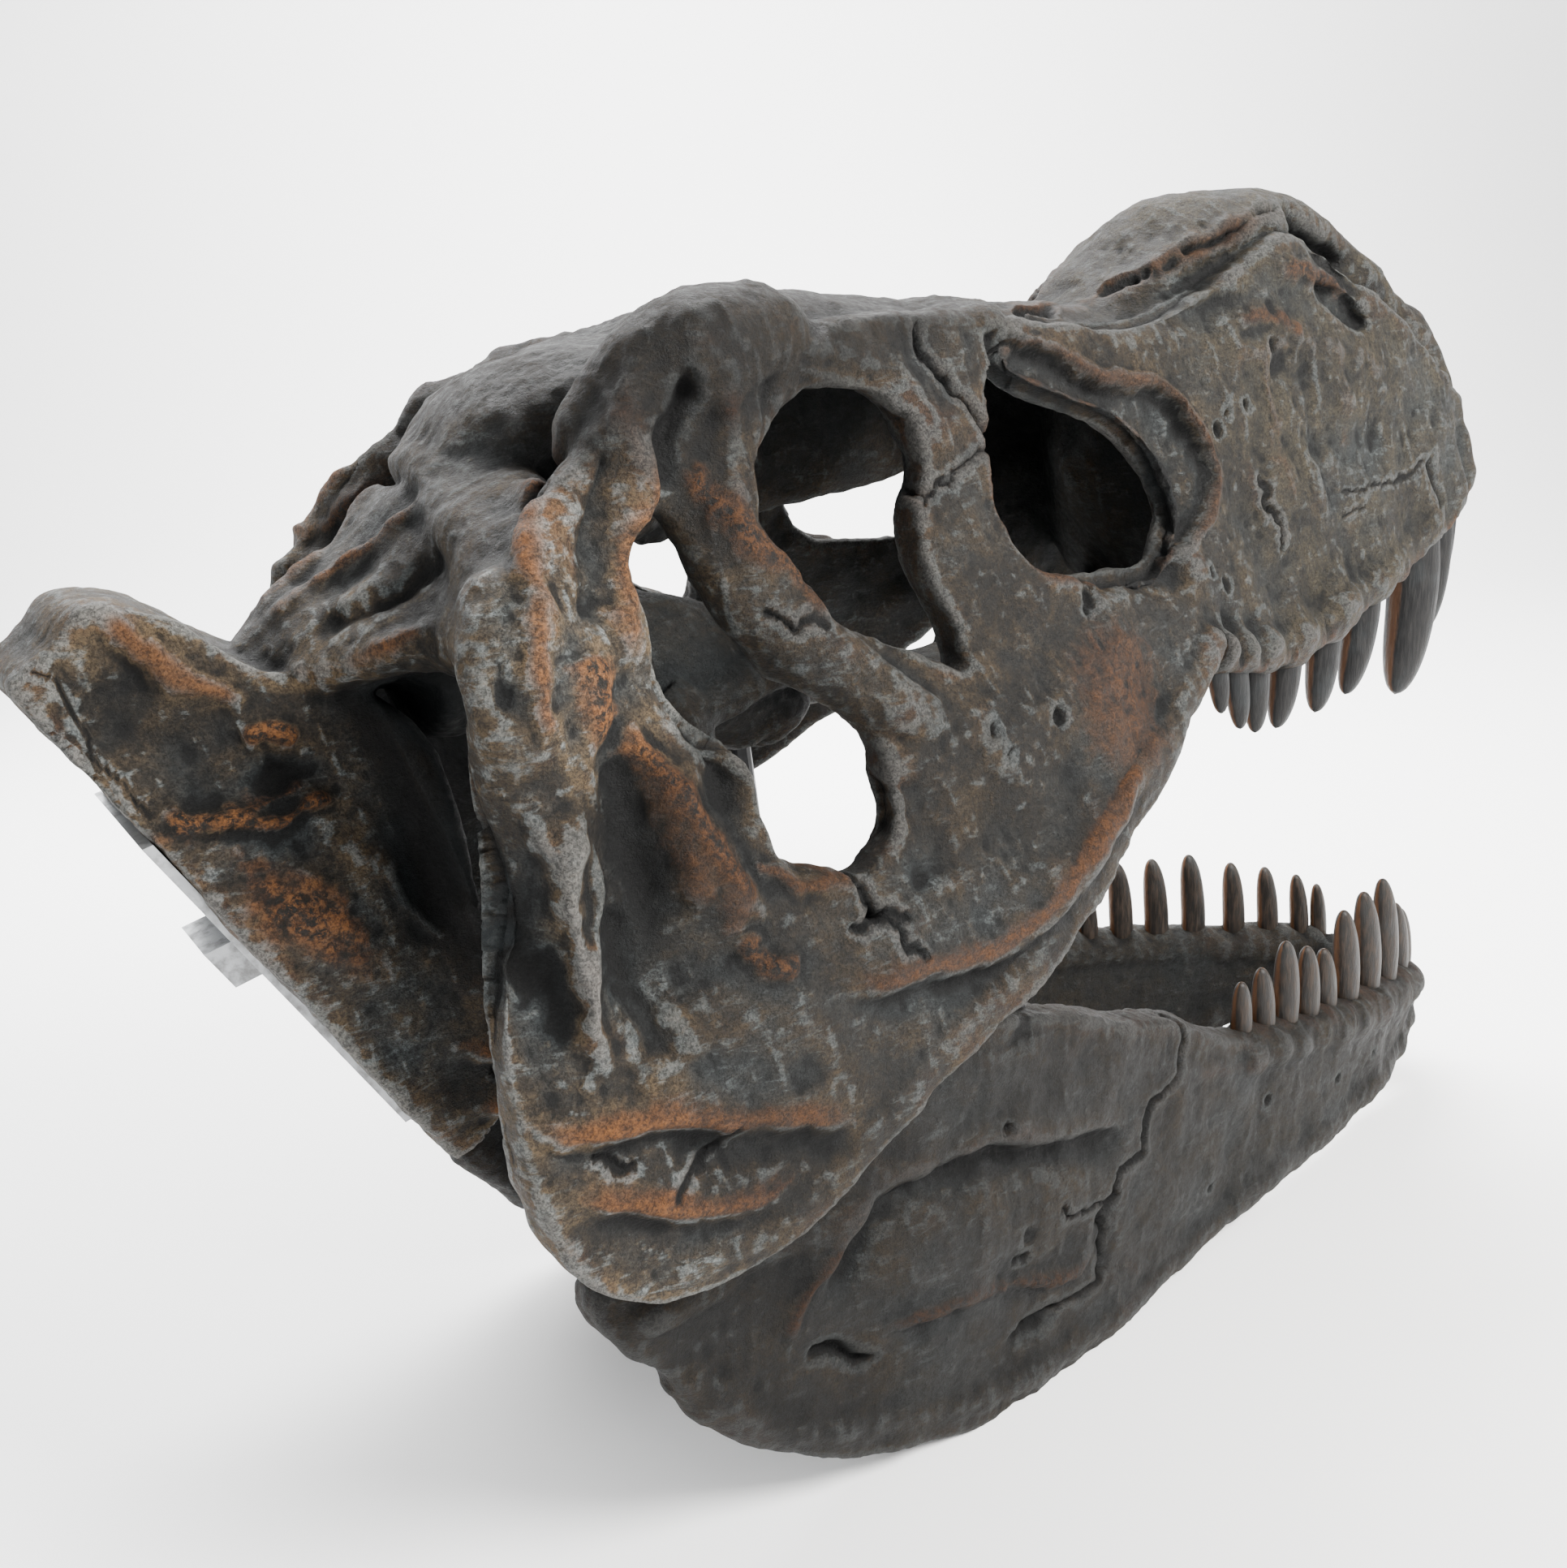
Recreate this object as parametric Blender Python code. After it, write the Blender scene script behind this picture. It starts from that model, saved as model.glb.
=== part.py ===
"""Tyrannosaur skull, mouth open, resting on its lower jaw with the cranium held up by two rods.

Everything is first laid out in two local frames, one for the cranium (HEAD) and one for the
lower jaw (JAW), both with x forward, y to the animal's left and z up. The right half is drawn
and then mirrored.
"""

import math

import bmesh
import bpy
import numpy as np
from mathutils import Matrix, Vector

# ------------------------------------------------ driving dimensions, metres and degrees
PITCH = 13.0  # cranium tilted nose up
GAPE = 20.0  # jaw opened below the cranium's own axis
JOINT = (0.054, -0.147)  # jaw joint in the cranium's frame: x, z
CUT_AT = -0.041  # neck stub is sawn off along x = CUT_AT + CUT_SLOPE * z
CUT_SLOPE = -0.295
CHEEK = 0.018  # half thickness of the side walls
JAW_WALL = 0.021  # half thickness of a jaw ramus
ROD_RADIUS = 0.010
ROD_SPAN = 0.21  # each rod's distance from the middle plane
ROD_FOOT = (0.437, -0.160)  # where a rod meets the jaw, in the cranium's frame: x, z
ROD_LEAN = 0.16  # forward lean for each unit of height
ROD_REACH = (-0.035, 0.245)  # how far a rod runs below and above its foot point
PLATE_BACK = 0.008  # back of the steel strip behind the saw cut
PLATE_HEIGHTS = (0.010, 0.300)
PLATE_HALF = 0.085
HOOK_BACK = 0.030
HOOK_HEIGHTS = (0.155, 0.190)
HOOK_HALF = 0.035
FLOOR_CUT = 0.008  # depth of the flats under the jaw
GAP = 0.0003  # clear gap between neighbouring solids
VOXEL = 0.008
CRANIUM_TRIANGLES = 2500
JAW_TRIANGLES = 700

BONE_COLOUR = (0.075, 0.060, 0.048, 1.0)
TOOTH_COLOUR = (0.050, 0.045, 0.040, 1.0)
ROD_COLOUR = (0.010, 0.010, 0.011, 1.0)
PLATE_COLOUR = (0.32, 0.33, 0.34, 1.0)


# ------------------------------------------------ helpers: curves and closed lofts
def spline(points, steps, closed=False):
    """Catmull-Rom curve through rows of numbers."""
    rows = np.array(points, float)
    if closed:
        rows = np.vstack([rows[-1], rows, rows[0], rows[1]])
    else:
        rows = np.vstack([2 * rows[0] - rows[1], rows, 2 * rows[-1] - rows[-2]])
    out = []
    for a, b, c, d in zip(rows, rows[1:], rows[2:], rows[3:]):
        for t in np.arange(steps) / steps:
            square = (2 * a - 5 * b + 4 * c - d) * t**2
            cube = (3 * b - a - 3 * c + d) * t**3
            out.append(0.5 * (2 * b + (c - a) * t + square + cube))
    if not closed:
        out.append(rows[-2])
    return np.array(out)


def blend(x, knots):
    """Smoothly read a value at x from (x, value) knots."""
    at, value = np.array(knots).T
    return np.interp(x, at, value)


def loft(path, wide=(0, 1, 0), sides=14, steps=5, power=2.0):
    """Closed solid along rows of (x, y, z, half size along wide, half size across it)."""
    rows = spline(path, steps)
    centre, size = rows[:, :3], np.maximum(rows[:, 3:], 0.002)
    tangent = np.gradient(centre, axis=0)
    tangent /= np.linalg.norm(tangent, axis=1)[:, None]
    wide = np.array(wide, float)
    first = wide - tangent * (tangent @ wide)[:, None]
    first /= np.linalg.norm(first, axis=1)[:, None]
    second = np.cross(tangent, first)
    angle = np.arange(sides) * math.tau / sides
    c, s = np.cos(angle), np.sin(angle)
    c = np.sign(c) * abs(c) ** (2 / power)
    s = np.sign(s) * abs(s) ** (2 / power)
    ring = (
        centre[:, None]
        + first[:, None] * (size[:, :1] * c)[..., None]
        + second[:, None] * (size[:, 1:] * s)[..., None]
    )
    count = len(centre)
    first_end = centre[0] - tangent[0] * size[0].min() * 0.6
    last_end = centre[-1] + tangent[-1] * size[-1].min() * 0.6
    ends = np.array([first_end, last_end])
    verts = np.vstack([ring.reshape(-1, 3), ends])
    faces = []
    for i in range(count - 1):
        for j in range(sides):
            k = (j + 1) % sides
            faces.append((i * sides + j, i * sides + k, (i + 1) * sides + k, (i + 1) * sides + j))
    for j in range(sides):
        k = (j + 1) % sides
        faces.append((k, j, count * sides))
        faces.append(((count - 1) * sides + j, (count - 1) * sides + k, count * sides + 1))
    return verts, faces


def join(shapes):
    """Stack (verts, faces) shapes into one."""
    verts, faces, start = [], [], 0
    for v, f in shapes:
        verts.append(v)
        faces += [tuple(start + i for i in face) for face in f]
        start += len(v)
    return np.vstack(verts), faces


def mirror(shape):
    verts, faces = shape
    return verts * (1, -1, 1), [face[::-1] for face in faces]


def both(shapes):
    """The drawn right-hand shapes and their left-hand copies."""
    return [s for shape in shapes for s in (shape, mirror(shape))]


def to_mesh(name, shape):
    mesh = bpy.data.meshes.new(name)
    mesh.from_pydata(np.asarray(shape[0]).tolist(), [], shape[1])
    mesh.validate()
    return mesh


def add_object(name, mesh):
    thing = bpy.data.objects.new(name, mesh)
    bpy.context.scene.collection.objects.link(thing)
    return thing


def baked(thing):
    """The object's mesh with its modifiers applied; the object itself is removed."""
    depsgraph = bpy.context.evaluated_depsgraph_get()
    mesh = bpy.data.meshes.new_from_object(thing.evaluated_get(depsgraph))
    bpy.data.objects.remove(thing)
    return mesh


def read(mesh):
    verts = np.empty(len(mesh.vertices) * 3, np.float32)
    mesh.vertices.foreach_get("co", verts)
    return verts.reshape(-1, 3).astype(float), [tuple(p.vertices) for p in mesh.polygons]


def voxelled(thing, voxel):
    remesh = thing.modifiers.new("one skin", "REMESH")
    remesh.mode = "VOXEL"
    remesh.voxel_size = voxel
    return thing


def plate(outline, holes, half, bend, voxel):
    """A plate with rounded outline and holes in x-z; bend(x, z) gives how far out its middle lies."""
    curve = bpy.data.curves.new("outline", "CURVE")
    curve.dimensions = "2D"
    curve.fill_mode = "BOTH"
    curve.extrude = half
    for ring in [outline] + holes:
        points = spline(ring, 4, closed=True)
        line = curve.splines.new("POLY")
        line.points.add(len(points) - 1)
        for point, (x, z) in zip(line.points, points):
            point.co = (x, z, 0, 1)
        line.use_cyclic_u = True
    flat = baked(add_object("outline", curve))
    mesh = baked(voxelled(add_object("plate", flat), voxel))
    verts, faces = read(mesh)
    x, z, out = verts.T
    return np.column_stack([x, out - bend(x, z), z]), [face[::-1] for face in faces]


# ------------------------------------------------ the cranium's half width
LOW_WIDTH = [
    (-0.05, 0.262), (0.20, 0.284), (0.45, 0.282), (0.65, 0.225), (0.80, 0.176), (0.95, 0.142),
    (1.10, 0.114), (1.25, 0.084), (1.33, 0.050), (1.36, 0.020),
]
TOP_WIDTH = [
    (-0.05, 0.215), (0.20, 0.190), (0.37, 0.160), (0.50, 0.134), (0.63, 0.118), (0.80, 0.100),
    (0.95, 0.086), (1.10, 0.068), (1.25, 0.050), (1.36, 0.015),
]


def cheek_width(x, z):
    """Half width of the side wall at (x, z): wide low down and behind, narrow at the roof and snout."""
    up = np.clip((z + 0.05) / 0.53, 0, 1)
    up = up * up * (3 - 2 * up)
    return blend(x, LOW_WIDTH) * (1 - up) + blend(x, TOP_WIDTH) * up


# ------------------------------------------------ outlines in the cranium's side view (x, z)
CHEEK_OUTLINE = [
    (0.085, 0.345), (0.13, 0.380), (0.18, 0.420), (0.24, 0.455), (0.30, 0.478), (0.365, 0.482),
    (0.42, 0.476), (0.50, 0.470), (0.57, 0.448), (0.64, 0.424), (0.72, 0.398), (0.80, 0.376),
    (0.88, 0.372), (0.96, 0.380), (1.03, 0.388), (1.09, 0.362), (1.15, 0.308), (1.210, 0.250),
    (1.265, 0.196), (1.317, 0.144), (1.356, 0.091), (1.364, 0.042), (1.31, 0.020), (1.23, 0.012),
    (1.15, 0.004), (1.08, -0.002), (0.99, -0.002), (0.91, 0.005), (0.84, 0.020), (0.79, 0.052),
    (0.75, 0.075), (0.70, 0.058), (0.64, 0.026), (0.56, -0.004), (0.46, -0.032), (0.38, -0.055),
    (0.29, -0.078), (0.23, -0.100), (0.16, -0.122), (0.09, -0.126), (0.03, -0.112), (-0.012, -0.07),
    (-0.025, -0.01), (-0.020, 0.06), (-0.005, 0.13), (0.02, 0.20), (0.050, 0.27),
]
NOSTRIL = [
    (1.060, 0.340), (1.092, 0.328), (1.128, 0.298), (1.145, 0.270), (1.126, 0.266), (1.094, 0.290), (1.066, 0.318),
]
ANTORBITAL = [
    (0.604, 0.388), (0.640, 0.366), (0.685, 0.334), (0.735, 0.300), (0.765, 0.255), (0.770, 0.208),
    (0.735, 0.178), (0.690, 0.186), (0.645, 0.200), (0.590, 0.220), (0.564, 0.260), (0.566, 0.325),
]
ORBIT = [
    (0.395, 0.440), (0.450, 0.432), (0.495, 0.405), (0.510, 0.370), (0.498, 0.338), (0.478, 0.318),
    (0.462, 0.275), (0.466, 0.225), (0.455, 0.196), (0.425, 0.222), (0.390, 0.254), (0.354, 0.280),
    (0.336, 0.325), (0.330, 0.380), (0.334, 0.415), (0.355, 0.436),
]
TEMPORAL = [
    (0.258, 0.418), (0.256, 0.404), (0.262, 0.385), (0.264, 0.350), (0.274, 0.312), (0.296, 0.264),
    (0.325, 0.232), (0.352, 0.196), (0.345, 0.160), (0.337, 0.130), (0.312, 0.116), (0.292, 0.111),
    (0.262, 0.124), (0.236, 0.148), (0.236, 0.180), (0.246, 0.212), (0.240, 0.236), (0.222, 0.258),
    (0.208, 0.282), (0.208, 0.320), (0.216, 0.355), (0.232, 0.392),
]
STUB_OUTLINE = [
    (-0.20, 0.385), (-0.168, 0.426), (-0.135, 0.442), (-0.100, 0.458), (-0.054, 0.428), (-0.012, 0.376),
    (0.045, 0.335), (0.075, 0.285), (0.070, 0.215), (0.050, 0.150), (0.040, 0.080), (0.030, 0.010),
    (0.00, -0.022), (-0.06, -0.030), (-0.09, 0.02), (-0.14, 0.25),
]
STUB_WIDTH = [
    (-0.05, 0.105), (0.05, 0.125), (0.16, 0.130), (0.24, 0.110), (0.31, 0.082), (0.40, 0.062),
    (0.47, 0.055),
]
JAW_OUTLINE = [
    (-0.060, 0.010), (-0.034, 0.024), (0.000, 0.030), (0.040, 0.062), (0.110, 0.118), (0.200, 0.158),
    (0.290, 0.168), (0.400, 0.148), (0.480, 0.120), (0.566, 0.102), (0.621, 0.076), (0.690, 0.048),
    (0.800, 0.032), (0.900, 0.026), (1.000, 0.022), (1.095, 0.016), (1.150, 0.010), (1.164, -0.014),
    (1.130, -0.046), (1.085, -0.074), (1.040, -0.099), (0.975, -0.119), (0.872, -0.139),
    (0.770, -0.154), (0.677, -0.169), (0.600, -0.190), (0.530, -0.209), (0.434, -0.225),
    (0.350, -0.231), (0.285, -0.230), (0.200, -0.214), (0.130, -0.192), (0.080, -0.162),
    (0.036, -0.121), (-0.008, -0.072), (-0.054, -0.022),
]
JAW_WIDTH = [
    (-0.10, 0.214), (0.10, 0.226), (0.30, 0.230), (0.50, 0.208), (0.70, 0.170), (0.80, 0.158),
    (0.90, 0.142), (1.00, 0.118), (1.08, 0.092), (1.14, 0.064), (1.18, 0.040), (1.20, 0.018),
    (1.21, 0.0),
]


def jaw_width(x, z):
    return blend(x, JAW_WIDTH)


# ------------------------------------------------ bones of the cranium, right half (x, y, z, half sizes)
LEFT_REAR = (0.018, -0.012, -0.030)  # the left corner behind has settled by this much


def cranium_shapes():
    wall = plate(CHEEK_OUTLINE, [NOSTRIL, ANTORBITAL, ORBIT, TEMPORAL], CHEEK, cheek_width, VOXEL * 0.8)
    lengthwise = (0, 0, 1)
    right = [
        wall,
        # postorbital boss and bar
        loft([(0.375, -0.158, 0.464, 0.030, 0.026), (0.315, -0.182, 0.415, 0.026, 0.026),
              (0.300, -0.206, 0.330, 0.028, 0.026), (0.345, -0.232, 0.250, 0.026, 0.022),
              (0.404, -0.240, 0.165, 0.018, 0.014)], (1, 0, 0)),
        # bar over the temporal opening and the squamosal's drop behind it
        loft([(0.400, -0.152, 0.460, 0.030, 0.026), (0.320, -0.170, 0.464, 0.030, 0.028),
              (0.240, -0.186, 0.440, 0.036, 0.028), (0.172, -0.206, 0.388, 0.046, 0.026),
              (0.125, -0.234, 0.310, 0.040, 0.022), (0.092, -0.246, 0.230, 0.030, 0.020),
              (0.062, -0.246, 0.140, 0.022, 0.018)], lengthwise),
        # rim over the orbit
        loft([(0.380, -0.155, 0.468, 0.020, 0.020), (0.450, -0.140, 0.464, 0.018, 0.020),
              (0.550, -0.128, 0.440, 0.018, 0.020), (0.640, -0.118, 0.418, 0.018, 0.018)], lengthwise),
        # lacrimal bar
        loft([(0.570, -0.128, 0.430, 0.030, 0.022), (0.548, -0.140, 0.350, 0.028, 0.020),
              (0.522, -0.168, 0.270, 0.034, 0.020), (0.515, -0.196, 0.180, 0.042, 0.018)], (1, 0, 0)),
        # upper and lower edges of the jugal
        loft([(0.760, -0.186, 0.094, 0.018, 0.020), (0.640, -0.226, 0.050, 0.022, 0.020),
              (0.480, -0.278, 0.004, 0.026, 0.018), (0.300, -0.287, -0.050, 0.024, 0.018),
              (0.160, -0.286, -0.096, 0.024, 0.018), (0.050, -0.276, -0.092, 0.022, 0.018)], lengthwise),
        # tooth-bearing edge of the maxilla and premaxilla
        loft([(0.770, -0.182, 0.075, 0.020, 0.022), (0.880, -0.156, 0.030, 0.024, 0.026),
              (0.990, -0.133, 0.022, 0.026, 0.028), (1.090, -0.112, 0.022, 0.026, 0.028),
              (1.190, -0.086, 0.032, 0.026, 0.028), (1.270, -0.062, 0.045, 0.026, 0.028),
              (1.332, -0.020, 0.055, 0.024, 0.024)], lengthwise),
        # quadrate, from the squamosal down to the jaw joint
        loft([(0.110, -0.225, 0.380, 0.030, 0.026), (0.070, -0.232, 0.240, 0.034, 0.024),
              (0.045, -0.238, 0.100, 0.040, 0.026), (0.034, -0.238, -0.030, 0.046, 0.030),
              (0.036, -0.226, -0.086, 0.034, 0.040)], (1, 0, 0)),
        # wing that ties the quadrate to the palate
        loft([(0.060, -0.225, 0.140, 0.070, 0.014), (0.170, -0.150, 0.175, 0.060, 0.012),
              (0.300, -0.060, 0.190, 0.045, 0.014)], lengthwise),
        # pterygoid, palatine and ectopterygoid
        loft([(0.300, -0.040, 0.200, 0.034, 0.022), (0.400, -0.056, 0.200, 0.030, 0.018),
              (0.470, -0.060, 0.142, 0.030, 0.016), (0.560, -0.062, 0.100, 0.034, 0.014),
              (0.660, -0.058, 0.078, 0.036, 0.014), (0.780, -0.050, 0.070, 0.040, 0.016),
              (0.920, -0.030, 0.080, 0.030, 0.022)]),
        loft([(0.500, -0.060, 0.120, 0.026, 0.018), (0.495, -0.150, 0.085, 0.024, 0.020),
              (0.500, -0.215, 0.065, 0.030, 0.026), (0.510, -0.256, 0.060, 0.034, 0.024)], (1, 0, 0)),
        loft([(0.660, -0.060, 0.076, 0.030, 0.014), (0.730, -0.120, 0.078, 0.032, 0.014),
              (0.790, -0.165, 0.080, 0.030, 0.018)], (1, 0, 0)),
    ]
    middle = [
        # vaulted roof over the braincase, frontals and nasals
        loft([(0.170, 0, 0.440, 0.080, 0.030), (0.230, 0, 0.466, 0.100, 0.038),
              (0.290, 0, 0.474, 0.118, 0.034), (0.350, 0, 0.468, 0.156, 0.034),
              (0.410, 0, 0.474, 0.150, 0.034), (0.470, 0, 0.468, 0.132, 0.034),
              (0.540, 0, 0.444, 0.120, 0.030), (0.620, 0, 0.422, 0.110, 0.024)]),
        loft([(0.580, 0, 0.424, 0.108, 0.022), (0.660, 0, 0.414, 0.104, 0.026), (0.740, 0, 0.386, 0.096, 0.024),
              (0.810, 0, 0.362, 0.088, 0.024), (0.880, 0, 0.372, 0.080, 0.040), (0.950, 0, 0.390, 0.078, 0.052),
              (1.020, 0, 0.396, 0.078, 0.042), (1.090, 0, 0.384, 0.064, 0.040), (1.150, 0, 0.356, 0.050, 0.034),
              (1.210, 0, 0.310, 0.036, 0.032), (1.275, 0, 0.246, 0.030, 0.030), (1.331, 0, 0.177, 0.030, 0.028),
              (1.356, 0, 0.100, 0.028, 0.024)]),
        # solid snout
        loft([(0.875, 0, 0.215, 0.134, 0.160), (0.980, 0, 0.205, 0.112, 0.172), (1.080, 0, 0.185, 0.092, 0.170),
              (1.165, 0, 0.150, 0.072, 0.130), (1.240, 0, 0.110, 0.058, 0.090), (1.315, 0, 0.080, 0.036, 0.056)],
             power=3.2),
        # wedge at the back of the braincase, ridged along its top
        loft([(-0.005, 0, 0.352, 0.060, 0.034), (0.045, 0, 0.362, 0.122, 0.046),
              (0.100, 0, 0.372, 0.162, 0.050), (0.165, 0, 0.398, 0.176, 0.058)], power=1.35),
        # braincase and its base
        loft([(0.085, 0, 0.340, 0.070, 0.052), (0.190, 0, 0.390, 0.070, 0.060), (0.310, 0, 0.390, 0.062, 0.050),
              (0.430, 0, 0.405, 0.050, 0.050)]),
        loft([(0.110, 0, 0.320, 0.070, 0.060), (0.220, 0, 0.280, 0.060, 0.060), (0.330, 0, 0.215, 0.056, 0.060),
              (0.390, 0, 0.160, 0.050, 0.050), (0.400, 0, 0.135, 0.040, 0.034)]),
        # septum between the orbits
        loft([(0.330, 0, 0.400, 0.030, 0.070), (0.450, 0, 0.385, 0.034, 0.066), (0.550, 0, 0.372, 0.034, 0.068),
              (0.640, 0, 0.365, 0.028, 0.060), (0.700, 0, 0.380, 0.022, 0.034)]),
    ]
    rear = [
        # wing of the occiput and the lobe that hangs from its end
        loft([(0.120, 0.010, 0.352, 0.040, 0.034), (0.118, -0.110, 0.366, 0.034, 0.034),
              (0.110, -0.190, 0.366, 0.036, 0.030), (0.102, -0.230, 0.352, 0.036, 0.028)], lengthwise),
        loft([(0.124, -0.205, 0.405, 0.034, 0.022), (0.104, -0.234, 0.370, 0.038, 0.022),
              (0.090, -0.250, 0.328, 0.036, 0.022), (0.083, -0.252, 0.300, 0.028, 0.020)], (1, 0, 0)),
        # nuchal crest
        loft([(0.190, 0.010, 0.458, 0.024, 0.036), (0.178, -0.080, 0.438, 0.024, 0.044),
              (0.154, -0.150, 0.418, 0.024, 0.044), (0.132, -0.200, 0.388, 0.024, 0.036)], lengthwise),
    ]
    settled = [(verts + LEFT_REAR, faces) for verts, faces in map(mirror, rear)]
    # the boss over the right eye stands higher than the left one
    boss = loft([(0.232, -0.150, 0.455, 0.026, 0.030), (0.285, -0.160, 0.482, 0.044, 0.044),
                 (0.335, -0.160, 0.492, 0.052, 0.044), (0.385, -0.150, 0.486, 0.044, 0.038),
                 (0.430, -0.138, 0.470, 0.026, 0.026)])
    return both(right) + rear + settled + middle + [boss]


def stub_shape():
    block = plate(STUB_OUTLINE, [], 0.10, lambda x, z: 0 * x, VOXEL * 0.8)
    verts, faces = block
    verts[:, 1] *= blend(verts[:, 2], STUB_WIDTH) / 0.10
    return [(verts, faces)]


# ------------------------------------------------ bones of the lower jaw, right half, in the jaw's frame
def jaw_path(height, wide, thick, stations):
    """Rows for a loft that follows the ramus at the given height function."""
    return [(x, -float(jaw_width(x, 0)), height(x), wide, thick) for x in stations]


def jaw_shapes():
    wall = plate(JAW_OUTLINE, [], JAW_WALL, jaw_width, VOXEL * 0.8)
    keel = [(0.0, -0.06), (0.10, -0.155), (0.30, -0.204), (0.45, -0.198), (0.60, -0.169), (0.80, -0.126),
            (0.98, -0.094), (1.08, -0.066), (1.14, -0.034)]
    brim = [(0.70, 0.024), (0.85, 0.010), (1.00, 0.004), (1.10, -0.002), (1.17, -0.008)]
    right = [
        wall,
        loft(jaw_path(lambda x: float(blend(x, keel)), 0.026, 0.026,
                      (0.02, 0.10, 0.22, 0.36, 0.50, 0.64, 0.78, 0.90, 1.00, 1.07, 1.12)), (0, 0, 1)),
        loft(jaw_path(lambda x: float(blend(x, brim)), 0.024, 0.028,
                      (0.70, 0.80, 0.90, 0.98, 1.05, 1.10, 1.14)), (0, 0, 1)),
        # articular seat for the quadrate and the process behind it
        loft([(-0.046, -0.192, -0.012, 0.030, 0.020), (-0.010, -0.205, -0.012, 0.046, 0.026),
              (0.060, -0.215, 0.000, 0.034, 0.030)]),
        # shelf of the surangular
        loft([(0.050, -0.236, 0.010, 0.014, 0.020), (0.170, -0.240, 0.030, 0.014, 0.020),
              (0.300, -0.238, 0.050, 0.012, 0.018), (0.420, -0.224, 0.060, 0.010, 0.014)]),
    ]
    middle = [
        loft([(1.133, 0, 0.004, 0.046, 0.024), (1.133, 0, -0.024, 0.046, 0.028),
              (1.104, 0, -0.050, 0.040, 0.026), (1.062, 0, -0.070, 0.036, 0.020)], (0, 1, 0)),
    ]
    return both(right) + middle


# ------------------------------------------------ teeth: (base x, base z, tip x, tip z, radius)
UPPER_TEETH = [
    (0.777, 0.063, 0.770, 0.011, 0.0114), (0.806, 0.046, 0.797, -0.019, 0.0131),
    (0.842, 0.035, 0.824, -0.037, 0.0148), (0.905, 0.019, 0.868, -0.055, 0.0177),
    (0.983, 0.015, 0.946, -0.076, 0.0194), (1.074, 0.010, 1.018, -0.091, 0.0205),
    (1.205, 0.015, 1.139, -0.150, 0.0308), (1.280, 0.025, 1.232, -0.115, 0.0228),
    (1.335, 0.030, 1.287, -0.105, 0.0194),
]
LOWER_RIGHT = [
    (0.720, 0.046, 0.706, 0.100, 0.0123), (0.762, 0.041, 0.742, 0.107, 0.0140),
    (0.804, 0.037, 0.784, 0.128, 0.0157), (0.848, 0.031, 0.828, 0.113, 0.0151),
    (0.890, 0.027, 0.868, 0.101, 0.0146), (0.938, 0.030, 0.908, 0.136, 0.0168),
    (0.998, 0.028, 0.962, 0.145, 0.0174), (1.052, 0.024, 1.016, 0.149, 0.0168),
    (1.108, 0.016, 1.078, 0.104, 0.0146), (1.138, 0.012, 1.112, 0.088, 0.0129),
    (1.170, 0.008, 1.150, 0.074, 0.0112),
]
LOWER_LEFT = [
    (0.727, 0.042, 0.710, 0.080, 0.0121), (0.768, 0.040, 0.752, 0.086, 0.0132),
    (0.812, 0.034, 0.799, 0.094, 0.0138), (0.862, 0.030, 0.842, 0.123, 0.0160),
    (0.914, 0.028, 0.892, 0.124, 0.0165), (0.968, 0.026, 0.945, 0.126, 0.0165),
    (1.026, 0.022, 1.006, 0.112, 0.0154), (1.074, 0.018, 1.054, 0.104, 0.0149),
    (1.116, 0.014, 1.096, 0.093, 0.0132), (1.140, 0.010, 1.124, 0.080, 0.0116),
]
UPPER_ROW = [
    (0.78, 0.178), (0.90, 0.152), (1.00, 0.130), (1.10, 0.108), (1.20, 0.083), (1.27, 0.060),
    (1.33, 0.026),
]
LOWER_ROW = [
    (0.70, 0.168), (0.85, 0.148), (0.95, 0.128), (1.05, 0.100), (1.10, 0.082), (1.14, 0.062),
    (1.18, 0.026),
]
TOOTH_ROOT = 0.030  # how deep a tooth is planted
TOOTH_SPLAY = 0.004  # how far a tip stands outside its base
TOOTH_PROFILE = [(0.0, 1.05), (0.70, 1.00), (1.0, 0.26)]  # share of the length, share of the radius


def tooth(base, tip, radius, upward):
    """A curved cone from its buried root to its tip, a little flattened sideways."""
    base, tip = np.array(base, float), np.array(tip, float)
    root = base - (0, 0, upward * TOOTH_ROOT)
    belly = (base[0] - tip[0]) * 0.8
    rows = []
    for t, wide in TOOTH_PROFILE:
        centre = root + (tip - root) * t
        along = centre[0] + belly * t * (1 - t)
        rows.append((along, centre[1], centre[2], radius * wide, radius * wide * 0.8))
    return loft(rows, (1, 0, 0), sides=5, steps=1)


def tooth_row(table, row, side, upward):
    shapes = []
    for base_x, base_z, tip_x, tip_z, radius in table:
        out = float(blend(base_x, row))
        base = (base_x, side * out, base_z)
        tip = (tip_x, side * (out + TOOTH_SPLAY), tip_z)
        shapes.append(tooth(base, tip, radius, upward))
    return shapes


def upper_teeth():
    return tooth_row(UPPER_TEETH, UPPER_ROW, -1, -1) + tooth_row(UPPER_TEETH, UPPER_ROW, 1, -1)


def lower_teeth():
    return tooth_row(LOWER_RIGHT, LOWER_ROW, -1, 1) + tooth_row(LOWER_LEFT, LOWER_ROW, 1, 1)


# ------------------------------------------------ frames
def turn(angle):
    """Rotation about Y that lifts +X by the angle."""
    return Matrix.Rotation(-math.radians(angle), 4, "Y")


HEAD = turn(PITCH)
JAW = HEAD @ Matrix.Translation((JOINT[0], 0, JOINT[1])) @ turn(-GAPE)


def place(shapes, frame):
    verts, faces = join(shapes)
    matrix = np.array(frame)
    return verts @ matrix[:3, :3].T + matrix[:3, 3], faces


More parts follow.
